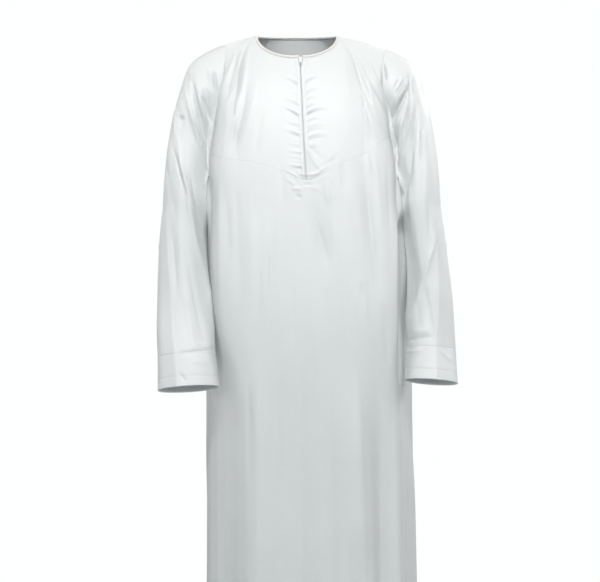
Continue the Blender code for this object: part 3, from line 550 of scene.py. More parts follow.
def cuff_grid(side):
    theta = armhole_angles()
    tab, top = (SLEEVE_RIGHT, CUFF_RIGHT_TOP) if side < 0 else (SLEEVE_LEFT, CUFF_LEFT_TOP)
    z = np.linspace(top, tab["z"][-1], CUFF_ROWS + 1)[:, None] * np.ones_like(theta)
    return inset(sleeve_section(side, theta, z), "top", SEAM / 2)


# ------------------------------------------------------------------ fine folds and puckers
# They are placed by where they are seen from the front, on the plane y = 0: u across and v
# up, in millimetres.  Each runs from (u0, v0) to (u1, v1), bowed sideways by bow in its
# middle.  right and left are its widths on the two sides of its line, right being the side
# of larger u on a fold that runs down, and the upper side on one that runs across.
VIEW_DISTANCE = 3.5
VIEW_HEIGHT = -0.516

# Down the chest and over the stomach.
FRONT_FINE = table(
    "u0 v0 u1 v1 bow left right height",
    # chest, wearer's right
    (-126, -22, -164, -146, 3, 5, 5, 2.74),
    (-117, -30, -156, -162, 3, 4, 5, -2.09),
    (-102, -30, -146, -242, 4, 5.5, 6, 3.14),
    (-106, -106, -138, -242, 3, 5, 6, -2.74),
    (-86, -94, -120, -238, 2, 8, 8, 1.61),
    (-148, -158, -166, -234, 1, 4, 5, -1.45),
    (-144, -182, -160, -278, 1, 6, 6, 1.45),
    (-76, -154, -92, -250, 1, 9, 9, -1.13),
    # chest, wearer's left
    (102, -18, 180, -196, -5, 6, 6, 3.46),
    (118, -42, 176, -170, -4, 5, 5, -2.25),
    (108, -74, 162, -210, -4, 6, 6, 2.58),
    (126, -130, 150, -206, -2, 5, 5, 1.93),
    (128, -142, 142, -226, -2, 4.5, 5.5, -2.42),
    (144, -58, 176, -134, -2, 4, 4, -1.61),
    (88, -46, 104, -166, -2, 11, 12, 1.45),
    (156, -170, 176, -218, -1, 5, 5, -1.29),
    (167, -84, 161, -110, 0, 2.4, 2.4, -2.4),
    # under the pointed seam
    (52, -294, 57, -350, 1, 5.5, 6.5, 2.64),
    (30, -368, 56, -466, 2, 8, 7, -3.45),
    (14, -352, 26, -458, 1, 9, 9, 1.61),
    (62, -362, 76, -478, 1, 9, 9, 2.18),
    (86, -246, 88, -318, 0, 7, 7, -2.99),
    (134, -238, 140, -290, 0, 5, 5, 3.22),
    (128, -262, 156, -534, 2, 6, 6, -3.68),
    (148, -234, 164, -406, 1, 7, 7, 2.07),
    (172, -234, 182, -458, 1, 6, 6, -2.3),
    (112, -294, 128, -458, 2, 8, 8, 2.18),
    (-68, -406, -72, -602, 0, 5.5, 6.5, 3.56),
    (-54, -362, -56, -554, 0, 6, 6, -2.07),
    (-128, -294, -120, -566, 0, 12, 13, -2.18),
    (-100, -326, -96, -566, 0, 11, 11, 1.72),
    (-162, -286, -160, -566, 1, 8, 9, 2.42),
    (-148, -326, -142, -458, 1, 6, 7, -2.07),
    (130, -478, 133, -594, 0, 4.5, 4.5, 3.22),
    (122, -494, 128, -526, 1, 4, 4, -2.99),
    (-20, -458, -12, -638, 0, 15, 15, -1.72),
    (28, -494, 36, -698, 0, 13, 13, 1.38),
    (92, -470, 100, -638, 0, 11, 11, -1.84),
    (-40, -266, -32, -346, 0, 9, 9, -1.15),
    (168, -534, 176, -678, 0, 7, 7, -2.07),
)
# The skirt, from the hips to the hem.
SKIRT_FINE = table(
    "u0 v0 u1 v1 bow left right height",
    (-104, -690, -101, -900, 2, 8, 9, -3.6),
    (-112, -700, -108, -1460, 2, 10, 16, 1.2),
    (-138, -640, -142, -1460, 3, 12, 13, -0.9),
    (-168, -680, -168, -1460, 0, 9, 10, 0.8),
    (-84, -620, -82, -1460, 1, 9, 10, 2.8),
    (-48, -640, -44, -1460, 0, 10, 12, -1.6),
    (-22, -560, -24, -1460, 0, 12, 12, 1.1),
    (2, -640, 4, -1460, 1, 14, 14, -1.9),
    (36, -660, 40, -1460, 1, 10, 11, 1.6),
    (62, -640, 66, -1460, 0, 9, 9, -1.1),
    (88, -640, 96, -1460, 2, 11, 10, 1.6),
    (113, -680, 140, -1120, -4, 28, 30, 14.0),
    (140, -1060, 146, -1460, 0, 26, 30, 13.0),
    (168, -700, 174, -1460, 2, 7, 6, 1.6),
    (184, -700, 192, -1460, 1, 8, 8, -2.6),
    # and the broad hollows at its two sides
    (-118, -640, -110, -1460, 2, 26, 10, -1.6),
    (124, -700, 152, -1460, -2, 3, 7, -2.4),
)
# Puckers along the zip: each starts at the zip, where it is strongest, and dies away outward.
PUCKERS_RIGHT = table(
    "u0 v0 u1 v1 bow left right height",
    (-4, -82, -16, -82, 0, 2.2, 2.2, 0.55),
    (-4, -98, -33, -88, -1, 2.8, 2.6, 1.50),
    (-5, -105, -22, -98, 0, 2.2, 2.2, -1.05),
    (-4, -119, -18, -117, 0, 2.4, 2.4, 0.55),
    (-3, -139, -30, -131, -1, 2.6, 2.8, 1.15),
    (-4, -145, -20, -141, 0, 2.2, 2.2, -0.75),
    (-2, -162, -38, -146, -2, 3.0, 3.0, 2.00),
    (-3, -168, -27, -156, -1, 2.4, 2.6, -1.45),
    (-1, -181, -20, -178, 0, 2.2, 2.2, 0.80),
    (-2, -189, -31, -181, 0, 2.2, 2.2, -0.80),
    (0, -201, -33, -192, -1, 2.8, 3.2, 1.75),
    (-1, -207, -22, -203, 0, 2.4, 2.4, -1.40),
    (1, -217, -19, -215, 0, 2.0, 2.2, 0.70),
    (0, -224, -27, -219, 0, 2.4, 2.2, 0.80),
    (1, -230, -16, -229, 0, 1.8, 1.8, -0.65),
    (2, -238, -25, -235, 0, 2.2, 2.4, 1.05),
    (2, -243, -17, -243, 0, 1.6, 1.8, -0.75),
    (3, -250, -22, -246, 0, 1.8, 1.8, 0.85),
    (3, -257, -15, -257, 0, 1.7, 1.7, 0.75),
    (4, -266, -25, -262, 1, 2.4, 2.4, 1.60),
    (3, -271, -18, -272, 0, 2.0, 2.2, -1.15),
)
PUCKERS_LEFT = table(
    "u0 v0 u1 v1 bow left right height",
    (11, -94, 38, -84, 2, 2.8, 2.6, 0.92),
    (11, -101, 40, -90, 2, 2.8, 2.6, -1.43),
    (11, -117, 34, -108, 2, 2.6, 2.4, 0.78),
    (11, -125, 38, -113, 2, 2.8, 2.6, -1.24),
    (12, -131, 32, -124, 2, 2.2, 2.2, 0.69),
    (12, -137, 34, -130, 2, 2.4, 2.2, -0.97),
    (13, -144, 34, -138, 2, 2.4, 2.2, 0.78),
    (13, -152, 36, -146, 2, 2.4, 2.4, -1.01),
    (13, -159, 56, -147, 4, 2.8, 3.0, 1.84),
    (13, -166, 54, -156, 4, 3.0, 2.8, -2.02),
    (14, -174, 38, -167, 2, 2.4, 2.4, 0.78),
    (14, -180, 40, -173, 2, 2.4, 2.2, -1.01),
    (15, -189, 48, -180, 3, 2.8, 2.6, 1.43),
    (15, -199, 42, -193, 2, 2.6, 2.6, -1.33),
    (16, -207, 52, -201, 3, 2.8, 2.8, 1.52),
    (16, -215, 54, -211, 3, 2.8, 3.0, -1.61),
    (17, -226, 44, -222, 2, 2.6, 2.6, 0.87),
    (17, -232, 38, -231, 1, 2.2, 2.4, -0.83),
    (16, -234, 46, -278, -3, 3.4, 3.4, 2.48),
    (24, -232, 50, -256, -1, 4.2, 4.2, -1.29),
)
# Folds round the seam's point: over it, then under it.
POINT_FOLDS = table(
    "u0 v0 u1 v1 bow left right height",
    (-6, -281, 42, -278, -4, 3.4, 3.6, 2.40),
    (-26, -276, 0, -291, 0, 2.8, 2.8, 1.00),
    (26, -290, 60, -262, 2, 3.2, 3.2, 1.30),
    (50, -262, 82, -232, 1, 5.0, 6.0, 0.80),
    (44, -272, 70, -250, 1, 4.5, 4.5, -0.90),
    (-30, -290, -8, -306, 1, 4.0, 3.4, 1.10),
    (-16, -312, 4, -313, 1, 3.4, 4.4, 2.20),
    (-8, -322, 2, -330, 0, 4.4, 3.4, -2.20),
    (6, -303, 24, -303, 0, 2.8, 2.8, -1.20),
    (22, -308, 42, -314, 0, 4.0, 5.0, 1.70),
    (34, -300, 60, -284, 2, 4.0, 4.4, 1.00),
    (40, -320, 60, -356, 1, 6.0, 6.4, -0.80),
)
# The back, seen from the front too: u is x, and v is z.
BACK_FINE = table(
    "u0 v0 u1 v1 bow left right height",
    # from the shoulders and the armholes
    (-142, -62, -156, -206, 4, 6, 7, 4.9),
    (-124, -84, -134, -262, 3, 7, 8, -3.5),
    (-98, -48, -112, -214, 5, 9, 10, 3.3),
    (-66, -96, -74, -250, 2, 12, 11, -2.1),
    (146, -70, 166, -236, -4, 6, 7, 5.2),
    (126, -92, 136, -300, -3, 7, 8, -3.9),
    (96, -44, 110, -190, -4, 10, 9, 3.1),
    (40, -150, 48, -330, -2, 12, 11, -2.3),
    (-24, -120, -22, -286, 1, 13, 12, 1.9),
    # drawn from the underarms toward the waist
    (-164, -262, -104, -396, 7, 6, 8, 4.7),
    (-158, -300, -112, -420, 7, 5, 7, -3.5),
    (-166, -346, -132, -452, 5, 5, 7, 3.1),
    (170, -268, 122, -384, -7, 6, 8, 4.2),
    (168, -320, 130, -446, -7, 5, 7, -3.3),
    (176, -372, 150, -470, -4, 6, 7, 2.8),
    # slack at the small of the back
    (-66, -418, 28, -438, 7, 8, 9, 2.6),
    (-20, -452, 78, -440, -6, 7, 9, -2.3),
    (-86, -476, -6, -500, 5, 7, 9, 2.3),
    (20, -486, 96, -478, -4, 7, 8, 1.9),
    # down the skirt
    (-158, -560, -170, -1460, 1, 8, 9, 3.9),
    (-112, -540, -122, -1180, 3, 9, 10, -3.9),
    (-92, -700, -110, -1460, 2, 7, 13, 4.5),
    (-46, -560, -34, -980, 2, 11, 9, 3.3),
    (-30, -900, -44, -1460, 2, 9, 12, -3.5),
    (8, -640, 2, -1460, 2, 14, 9, 4.0),
    (70, -520, 88, -1100, 2, 8, 12, -3.9),
    (92, -980, 98, -1460, 1, 12, 8, 3.7),
    (124, -460, 138, -900, 2, 8, 9, 3.7),
    (150, -800, 160, -1460, 2, 12, 8, 4.2),
    (182, -560, 194, -1460, 0, 7, 8, -3.5),
)
# Sleeves, on the side that is seen from the front, and on the other side.
SLEEVE_FINE_RIGHT = table(
    "u0 v0 u1 v1 bow left right height",
    # from the shoulder's corner down to the underarm
    (-217, -90, -181, -232, -2, 4.5, 4.5, -9.5),
    (-231, -104, -184, -282, -3, 3.6, 3.4, 7.0),
    (-201, -130, -184, -192, 0, 3.0, 3.0, 5.5),
    (-199, -122, -175, -182, 0, 3.4, 3.4, -10.2),
    (-195, -106, -179, -138, 0, 2.4, 2.4, 5.8),
    (-190, -110, -171, -142, 0, 2.2, 2.2, -5.5),
    (-175, -74, -165, -122, 1, 2.4, 2.6, -5.8),
    (-184, -70, -176, -106, 1, 3.0, 2.6, 2.8),
    (-225, -80, -222, -96, 0, 2.0, 2.0, -3.8),
    (-206, -190, -182, -262, -1, 4.0, 4.0, -4.8),
    (-181, -180, -183, -292, 0, 3.0, 3.0, -5.0),
    # down the arm
    (-245, -168, -230, -172, 0, 3.6, 3.6, -3.8),
    (-244, -146, -236, -190, 0, 4.5, 5, -2.6),
    (-256, -218, -212, -366, -2, 4.5, 5, -4.6),
    (-241, -246, -212, -362, -2, 4.0, 4.0, 4.4),
    (-238, -254, -170, -594, -4, 5, 8, 5.4),
    (-220, -278, -188, -414, -2, 5, 5, -3.6),
    (-270, -246, -248, -378, -1, 5, 5, -2.4),
    (-258, -118, -224, -326, -3, 6, 6, 2.6),
    (-208, -334, -176, -478, -1, 5, 6, -3.6),
    (-224, -450, -188, -638, -2, 7, 8, -3),
    (-244, -390, -220, -546, -1, 8, 8, 2.2),
    (-234, -502, -208, -642, -1, 8, 8, 2.6),
    (-256, -386, -246, -534, 0, 6, 7, -2.4),
    (-204, -182, -180, -314, -1, 4, 4.5, 2.2),
    (-202, -274, -184, -398, -1, 4, 4, 2.6),
    (-244, -639, -172, -634, 0, 5, 4, -2.4),
    (-208, -622, -172, -626, -1, 4, 4, 1.8),
    (-242, -678, -228, -698, 0, 3, 3, -1.8),
    (-216, -658, -176, -662, 1, 5, 5, 1.4),
)
SLEEVE_FINE_LEFT = table(
    "u0 v0 u1 v1 bow left right height",
    # from the shoulder's corner down to the underarm
    (170, -124, 181, -186, 0, 3.0, 3.0, -7.3),
    (184, -186, 197, -306, 1, 3.6, 4.0, -6.0),
    (216, -112, 182, -177, 0, 3.6, 3.6, -10.5),
    (218, -92, 184, -156, 0, 3.2, 3.0, 6.6),
    (211, -92, 190, -124, 0, 3.6, 3.6, -5.6),
    (200, -90, 188, -112, 0, 3.0, 3.0, -2.9),
    (218, -76, 220, -134, 0, 2.2, 2.4, -4.9),
    (221, -130, 188, -266, 2, 2.8, 2.8, -8.1),
    (228, -126, 195, -268, 2, 3.2, 3.6, 5.1),
    (226, -76, 229, -126, 0, 2.0, 2.2, -3.9),
    (197, -188, 186, -236, 0, 4.0, 4.4, -7.8),
    (204, -172, 190, -218, 0, 3.0, 3.0, 4.1),
    (170, -62, 173, -96, 0, 2.2, 2.2, -5.4),
    (235, -132, 202, -366, 3, 8.0, 7.0, -7.3),
    (244, -186, 240, -256, 0, 2.4, 2.4, -2.9),
    (250, -180, 247, -260, 0, 2.6, 2.6, 2.2),
    (255, -186, 252, -240, 0, 2.2, 2.2, -2.7),
    # down the arm
    (246, -174, 236, -334, 1, 6, 6, -2.4),
    (256, -110, 250, -346, 1, 7, 7, 2.8),
    (272, -402, 218, -586, 3, 9, 6, 5.6),
    (212, -262, 234, -450, 1, 5.5, 6, 3.4),
    (204, -282, 218, -422, 1, 5, 5, -4.4),
    (256, -330, 264, -462, 0, 7, 7, -3),
    (226, -426, 240, -602, 0, 7, 8, -2.6),
    (244, -482, 268, -622, 1, 8, 8, -2.8),
    (274, -470, 284, -634, 0, 6, 8, 2.2),
    (226, -334, 248, -506, 1, 7, 7, 2.2),
    (214, -616, 266, -606, 1, 5, 4, -2.8),
    (220, -600, 264, -594, 1, 5, 5, 1.8),
    (212, -638, 248, -634, 0, 4, 4, 1.6),
    (280, -634, 304, -658, 0, 5, 5, 1.6),
)
SLEEVE_BACK_RIGHT = table(
    "u0 v0 u1 v1 bow left right height",
    (-196, -76, -178, -214, 4, 6, 7, 4.2),
    (-216, -96, -186, -262, 4, 6, 6, -3.6),
    (-236, -120, -200, -300, 4, 7, 8, 3.4),
    (-252, -190, -214, -352, 3, 6, 7, -2.8),
    (-258, -300, -206, -420, 5, 7, 8, 3.6),
    (-264, -376, -204, -452, 6, 6, 8, -2.8),
    # across the back of the elbow
    (-290, -424, -196, -482, 6, 6, 9, 4.0),
    (-288, -470, -206, -500, 5, 5, 8, -3.0),
    (-284, -494, -190, -556, 5, 6, 8, 3.2),
    (-270, -556, -214, -572, 3, 5, 8, -1.9),
    (-232, -540, -216, -640, 2, 7, 8, -2.2),
    (-256, -572, -252, -650, 0, 7, 8, 1.8),
)
SLEEVE_BACK_LEFT = table(
    "u0 v0 u1 v1 bow left right height",
    (214, -84, 196, -226, -4, 6, 7, 4.2),
    (234, -100, 206, -274, -4, 6, 6, -3.6),
    (254, -130, 220, -316, -4, 7, 8, 3.4),
    (270, -210, 234, -366, -3, 6, 7, -2.8),
    (278, -306, 230, -424, -5, 7, 8, 3.4),
    # across the back of the elbow
    (208, -470, 312, -420, 6, 6, 9, 3.8),
    (216, -492, 306, -462, 5, 5, 8, -2.8),
    (206, -540, 308, -488, 5, 6, 8, 3.2),
    (236, -560, 300, -538, 3, 5, 8, -1.8),
    (262, -540, 270, -630, 2, 7, 8, -2.2),
    (284, -560, 288, -630, 0, 7, 8, 1.8),
)
# Side panels: u is y, toward the back, and v is z.
SIDE_FINE = table(
    "u0 v0 u1 v1 bow left right height",
    (-34, -310, -14, -430, 2, 6, 7, 3.5),
    (24, -306, 6, -470, 2, 6, 7, -3.2),
    (48, -330, 30, -520, 2, 7, 8, 3.0),
    (-6, -470, 8, -640, 2, 8, 8, 2.9),
    (52, -560, 48, -840, 1, 8, 8, -2.7),
    (-52, -620, -50, -1460, 1, 7, 8, -2.9),
    (-14, -700, -6, -1460, 2, 8, 8, 3.7),
    (30, -760, 34, -1460, 1, 9, 8, -3.0),
    (62, -800, 72, -1460, 1, 8, 8, 2.9),
)


def crest(x):
    """A fold's cross-section: 1 on its line, falling off with soft flanks from a firm crest."""
    return np.exp(-1.60 * (np.sqrt(x * x + 0.25) - 0.5))


def strokes(tab, u, v, ends=0.36, root=None):
    """Height, in metres, of all the folds of one table at (u, v), in millimetres.

    Each fades out over the share of its length given by ends, but not at the hem.  With a
    root, it is strongest at its first end, where it takes only that share to rise, and it
    dies away to nothing at the other.
    """
    total = np.zeros(np.broadcast(u, v).shape)
    for i in range(len(tab["u0"])):
        du, dv = tab["u1"][i] - tab["u0"][i], tab["v1"][i] - tab["v0"][i]
        length = math.hypot(du, dv)
        au, av = du / length, dv / length
        s = ((u - tab["u0"][i]) * au + (v - tab["v0"][i]) * av) / length
        d = -(u - tab["u0"][i]) * av + (v - tab["v0"][i]) * au
        d = d - tab["bow"][i] * 4 * np.clip(s, 0, 1) * (1 - np.clip(s, 0, 1))
        if root is None:
            run = (s + 0.10) / 1.20
            fade = smooth(run / ends)
            if tab["v1"][i] > -1000 * LENGTH:
                fade = fade * smooth((1 - run) / ends)
            spread = 0.62 + 0.38 * smooth(run / 0.6)
        else:
            run = np.clip(s / 1.15, 0, 1)
            fade = smooth((s + root) / (2 * root)) * (1 - run) ** 1.5 * (1 + 1.5 * run)
            spread = 0.80 + 0.55 * run
        wide = np.where(d > 0, tab["right"][i], tab["left"][i]) * spread
        total = total + tab["height"][i] * fade * crest(d / wide)
    return total * 0.001


def seen(p):
    """Where a point is seen from the front, in millimetres."""
    near = (VIEW_DISTANCE + p[..., 1]) / VIEW_DISTANCE
    return p[..., 0] / near * 1000, ((p[..., 2] - VIEW_HEIGHT) / near + VIEW_HEIGHT) * 1000


def wander(p, size, seed):
    """A smooth, uneven height from -1 to 1: the slight slackness of cloth."""
    rng = np.random.default_rng(seed)
    total = np.zeros(p.shape[:-1])
    for _ in range(7):
        way = rng.normal(size=3)
        way[2] *= 0.45
        way *= 2 * math.pi / (size * np.linalg.norm(way)) * rng.uniform(0.7, 1.5)
        total += np.sin(p @ way + rng.uniform(0, 6.28))
    return total / 7


# ------------------------------------------------------------------ fine grids
WALL = 0.0009            # wall of the fine cloth pieces
EDGE = 0.00014           # from a seam's line to the middle of the turned edge


def spaced(start, end, step, *closer):
    """Places from start to end, step apart, and closer together inside each (from, to, step)."""
    at = [start]
    while at[-1] < end:
        here = step
        for low, high, fine in closer:
            away = max(low - at[-1], at[-1] - high, 0)
            here = min(here, fine + 0.35 * away)
        at.append(at[-1] + here)
    at = np.array(at)
    return start + (at - start) * (end - start) / (at[-1] - start)


def along(points, axis, closed=False):
    """Differences along rows (axis 0) or columns (axis 1), wrapped on a closed grid."""
    if closed and axis == 1:
        return np.roll(points, -1, axis=1) - np.roll(points, 1, axis=1)
    return np.gradient(points, axis=axis)


def normals(points, outward, closed=False):
    n = unit(np.cross(along(points, 0), along(points, 1, closed)))
    return n * outward


def travel(points, axis):
    """Distance along the grid's lines from its first row or column."""
    step = np.linalg.norm(np.diff(points, axis=axis), axis=-1)
    zero = np.zeros_like(np.take(step, [0], axis=axis))
    return np.concatenate([zero, np.cumsum(step, axis=axis)], axis=axis)


def finish(points, height, normal, edges, ditch=None, reach=None):
    """Adds the heights, and turns the edges: 'seam' turns in, 'lap' goes on behind the next
    panel as a pressed seam allowance does, and 'hem' folds up inside.  ditch is how deep each
    column's seam across the columns is pressed in, and reach the share of its lap that it has.

    Returns the points and each point's place on the cloth, in metres.
    """
    down, across = travel(points, 0), travel(points, 1)
    place = np.stack([across, -down], axis=-1)
    spans = {
        "bottom": (0, -1, down[-1:] - down),
        "top": (0, 0, down),
        "last": (1, -1, across[:, -1:] - across),
        "first": (1, 0, across),
    }
    moved = points.copy()
    for edge, kind in edges.items():
        axis, row, d = spans[edge]
        if kind in ("seam", "lap"):
            inward = unit(np.gradient(points, axis=axis)) * (1 if row == 0 else -1)
            moved += inward * (EDGE * np.exp(-d / 0.0022))[..., None]
            deep = ditch if ditch is not None and axis == 0 else 1.0
            height = height - 0.00050 * deep * np.exp(-((d / 0.0009) ** 1.5))
        else:
            height = height + 0.0002 * smooth((0.0205 - d) / 0.002)
            height = height - 0.0005 * np.exp(-(((d - 0.0205) / 0.0009) ** 2))
    moved = moved + normal * height[..., None]
    grown = [(0, 0), (0, 0)]
    for edge in ("bottom", "top", "last", "first"):
        kind = edges.get(edge)
        if kind is None:
            continue
        axis, row, d = spans[edge]
        if kind == "seam":
            picks = [(row, 0.0005), (row, 0.0009)]
        elif kind == "lap":
            picks = [(row, 0.0010), (row, 0.0013), (row, 0.0016)]
        else:
            line = d[:, d.shape[1] // 2]
            turns = ((0.0, 0.0009), (0.0007, 0.00175), (0.006, 0.0018), (0.013, 0.0018), (0.020, 0.0017))
            picks = [(int(np.argmin(np.abs(line - back))), depth) for back, depth in turns]
        extra = [np.take(moved, [k], axis) - np.take(normal, [k], axis) * depth for k, depth in picks]
        if kind == "lap":
            off = -np.take(unit(np.gradient(points, axis=axis)), [row], axis) * (1 if row == 0 else -1)
            if off.shape != extra[0].shape:
                pad = [(0, 0)] * 3
                pad[1 - axis] = grown[1 - axis]
                off = np.pad(off, pad, mode="edge")
            if reach is not None and axis == 0:
                off = off * np.pad(reach, (off.shape[1] - len(reach), 0), mode="edge")[None, :, None]
            extra = [e + off * far for e, far in zip(extra, (0.0002, 0.0018, 0.0045))]
        shift = np.array((0.0, -1.0) if axis == 0 else (1.0, 0.0)) * (-1 if row == 0 else 1)
        spot = [np.take(place, [row], axis) + shift * 0.0012 * (i + 1) for i in range(len(picks))]
        face = [np.take(normal, [row], axis)] * len(picks)
        join = []
        for whole, part in ((moved, extra), (place, spot), (normal, face)):
            join.append(np.concatenate([*part[::-1], whole] if row == 0 else [whole, *part], axis=axis))
        moved, place, normal = join
        before, after = grown[axis]
        grown[axis] = (before + len(picks), after) if row == 0 else (before, after + len(picks))
    return moved, place


def panel(name, points, place, mat, closed=False, flip=False, wall=WALL):
    """A mesh through a grid of points, given the cloth's thickness."""
    rows, columns = points.shape[:2]
    index = np.arange(rows * columns).reshape(rows, columns)
    right = np.roll(index, -1, axis=1) if closed else index[:, 1:]
    here = index if closed else index[:, :-1]
    quads = np.stack([here[:-1], here[1:], right[1:], right[:-1]], axis=-1).reshape(-1, 4)
    if flip:
        quads = quads[:, ::-1]
    mesh = bpy.data.meshes.new(name)
    mesh.from_pydata(points.reshape(-1, 3).tolist(), [], quads.tolist())
    layer = mesh.uv_layers.new(name="cloth")
    uv = place.reshape(-1, 2)[quads.reshape(-1)]
    if closed:
        seam = (quads.reshape(-1) % columns == 0) & np.repeat(np.tile(np.arange(columns) == columns - 1, rows - 1), 4)
        uv[seam, 0] = place.reshape(-1, 2)[quads.reshape(-1)[seam] + columns - 1, 0] + 0.003
    layer.data.foreach_set("uv", uv.astype(np.float32).ravel())
    mesh.update()
    mesh.shade_smooth()
    obj = bpy.data.objects.new(name, mesh)
    mesh.materials.append(mat)
    bpy.context.scene.collection.objects.link(obj)
    solid = obj.modifiers.new("Cloth thickness", "SOLIDIFY")
    solid.thickness = wall
    solid.offset = 0.0
    return obj


# ------------------------------------------------------------------ the pieces' grids
def neck_gap(columns, back, under_binding):
    """t at which a panel begins: under the binding at the neck, at the seam on the shoulder."""
    near = np.clip(columns, -NECK_SHARE, NECK_SHARE)
    way, square = neck_frame(near, back)
    slant = np.sum(way * square, axis=-1)
    beside = smooth((np.abs(columns) - NECK_SHARE) / SHOULDER_STEP)
    gap = under_binding / slant * (1 - beside)
    return gap / np.linalg.norm(yoke_start(columns, back), axis=-1)


def beside_edge(columns, wide=0.045):
    """0 at a panel's side edges, rising to 1: folds die away there, so that seams stay closed."""
    return smooth((1 - np.abs(columns)) / wide)


def full_edge(columns, p):
    """The chest stays full almost to the armholes, then drops to them."""
    out = np.abs(columns)
    down = smooth((-0.060 - p[..., 2]) / 0.05) * (1 - smooth((-0.265 - p[..., 2]) / 0.07))
    return 0.0056 * smooth((out - 0.60) / 0.28) * (1 - smooth((out - 0.945) / 0.055)) * down


def fine_yoke(side):
    reach = spaced(
        side * SLIT, 1, 0.0092, (side * SLIT, 0.20 + side * SLIT, 0.0052), (0.994, 1, 0.003), (side * SLIT, side * SLIT + 0.01, 0.003)
    )
    columns = side * reach
    start = neck_gap(columns, False, 0.0017)
    rows = spaced(0, 1, 1 / 185, (0, 0.006, 0.0025), (0.988, 1, 0.0025))[:, None]
    t = start + (seam_share(columns) - start) * rows
    p = upper(columns, t)
    n = normals(p, side)
    u, v = seen(p)
    puckers = strokes(PUCKERS_RIGHT if side < 0 else PUCKERS_LEFT, u, v, root=0.07)
    slack = strokes(FRONT_FINE, u, v) + 0.0009 * wander(p, 0.11, 4) * smooth(t / 0.2)
    height = lift(p) * smooth(t / 0.3) + slack * beside_edge(columns) + puckers + strokes(POINT_FOLDS, u, v) + full_edge(columns, p)
    d = travel(p, 1)
    slit = slit_gap(p[:, :1, 2])
    p = p + unit(np.gradient(p, axis=1)) * (slit * np.exp(-d / 0.008))[..., None]
    height = height + 0.0004 * np.exp(-(((d - 0.0045) / 0.0022) ** 2)) - 0.00045 * np.exp(-(((d - 0.0085) / 0.0008) ** 2))
    edges = {"bottom": "seam", "last": "lap", "first": "seam", "top": "lap"}
    return finish(p, height, n, edges, pressed(columns), beside_neck(columns)), (p, n, height)


def pressed(columns):
    """How firmly the pointed seam is pressed in: most at its point and at the armholes."""
    return 0.25 + 0.75 * np.exp(-(((columns - SLIT) / 0.10) ** 2)) + 0.45 * smooth((np.abs(columns) - 0.72) / 0.2)


def beside_neck(columns):
    """Share of the lap at the upper edge: none at the neckline, a little along the shoulder."""
    return 0.25 * smooth((np.abs(columns) - NECK_SHARE - 0.01) / 0.04)


def fine_front():
    columns = spaced(-1, 1, 0.021, (-0.16, 0.24, 0.009), (-1, -0.985, 0.005), (0.970, 1, 0.005))
    share = seam_share(columns)
    rows = spaced(0, 1, 0.05, (0, 0.06, 0.02))[:, None]
    t = share + (1 - share) * rows
    top = upper(columns, t)
    down = spaced(0, 1, 0.0042, (0, 0.04, 0.002), (0.996, 1, 0.0009))[1:, None]
    start = UNDERARM - FRONT_DIP * (1 - columns**2)
    z = start + down * (-LENGTH - start)
    p = np.concatenate([top, ring(front_angle(columns, z), z)])
    n = normals(p, 1)
    u, v = seen(p)
    facing = smooth((-p[..., 1] - 0.03) / 0.04)
    slack = (strokes(FRONT_FINE, u, v) + strokes(SKIRT_FINE, u, v)) * facing + 0.0009 * wander(p, 0.11, 4)
    height = lift(p) + strokes(POINT_FOLDS, u, v) + slack * beside_edge(columns) + full_edge(columns, p)
    for side in (-1, 1):
        height = height - edge_in(side, p[..., 2]) * smooth((side * columns - 0.955) / 0.045)
    edges = {"bottom": "hem", "top": "lap", "last": "lap", "first": "lap"}
    return finish(p, height, n, edges, pressed(columns)), (p, n, height)


def fine_back():
    columns = spaced(-1, 1, 0.022, (-1, -0.994, 0.004), (0.994, 1, 0.004))
    start = neck_gap(columns, True, 0.0017)
    rows = spaced(0, 1, 0.016, (0, 0.02, 0.005))[:, None]
    t = start + (1 - start) * rows
    top = upper(columns, t, True)
    down = spaced(0, 1, 0.0050, (0.996, 1, 0.0009))[1:, None]
    edge = UNDERARM - BACK_DIP * (1 - columns**2)
    z = edge + down * (-LENGTH - edge)
    p = np.concatenate([top, ring(back_angle(columns, z), z)])
    ease = np.concatenate([smooth(t / 0.3), np.ones_like(z)])
    n = normals(p, -1)
    facing = smooth((p[..., 1] - 0.03) / 0.04)
    slack = strokes(BACK_FINE, p[..., 0] * 1000, p[..., 2] * 1000) * facing + 0.0008 * wander(p, 0.15, 12)
    height = (lift(p) + slack * beside_edge(columns)) * ease
    edges = {"bottom": "hem", "last": "lap", "first": "lap", "top": "lap"}
    return finish(p, height, n, edges, None, beside_neck(columns)), (p, n, height)


def edge_in(side, z):
    """How far the front panel's edge turns in under the sleeve, at height z."""
    deep, start, end = (0.0050, -0.290, -0.66) if side > 0 else (0.0026, -0.290, -0.60)
    return deep * smooth((start - z) / 0.02) * (1 - smooth((end - z) / 0.13))


def side_fold(side, shares, z):
    """The side panel folds in sharply behind the front panel's edge, under the sleeve."""
    deep, start, end = (0.0135, -0.350, -0.53) if side > 0 else (0.0040, -0.390, -0.56)
    down = smooth((start - z) / 0.05) * (1 - smooth((end - z) / 0.13))
    inside = smooth(shares / 0.07) * (1 - smooth((shares - 0.24) / 0.34))
    return -deep * inside * down - edge_in(side, z) * (1 - smooth(shares / 0.12))


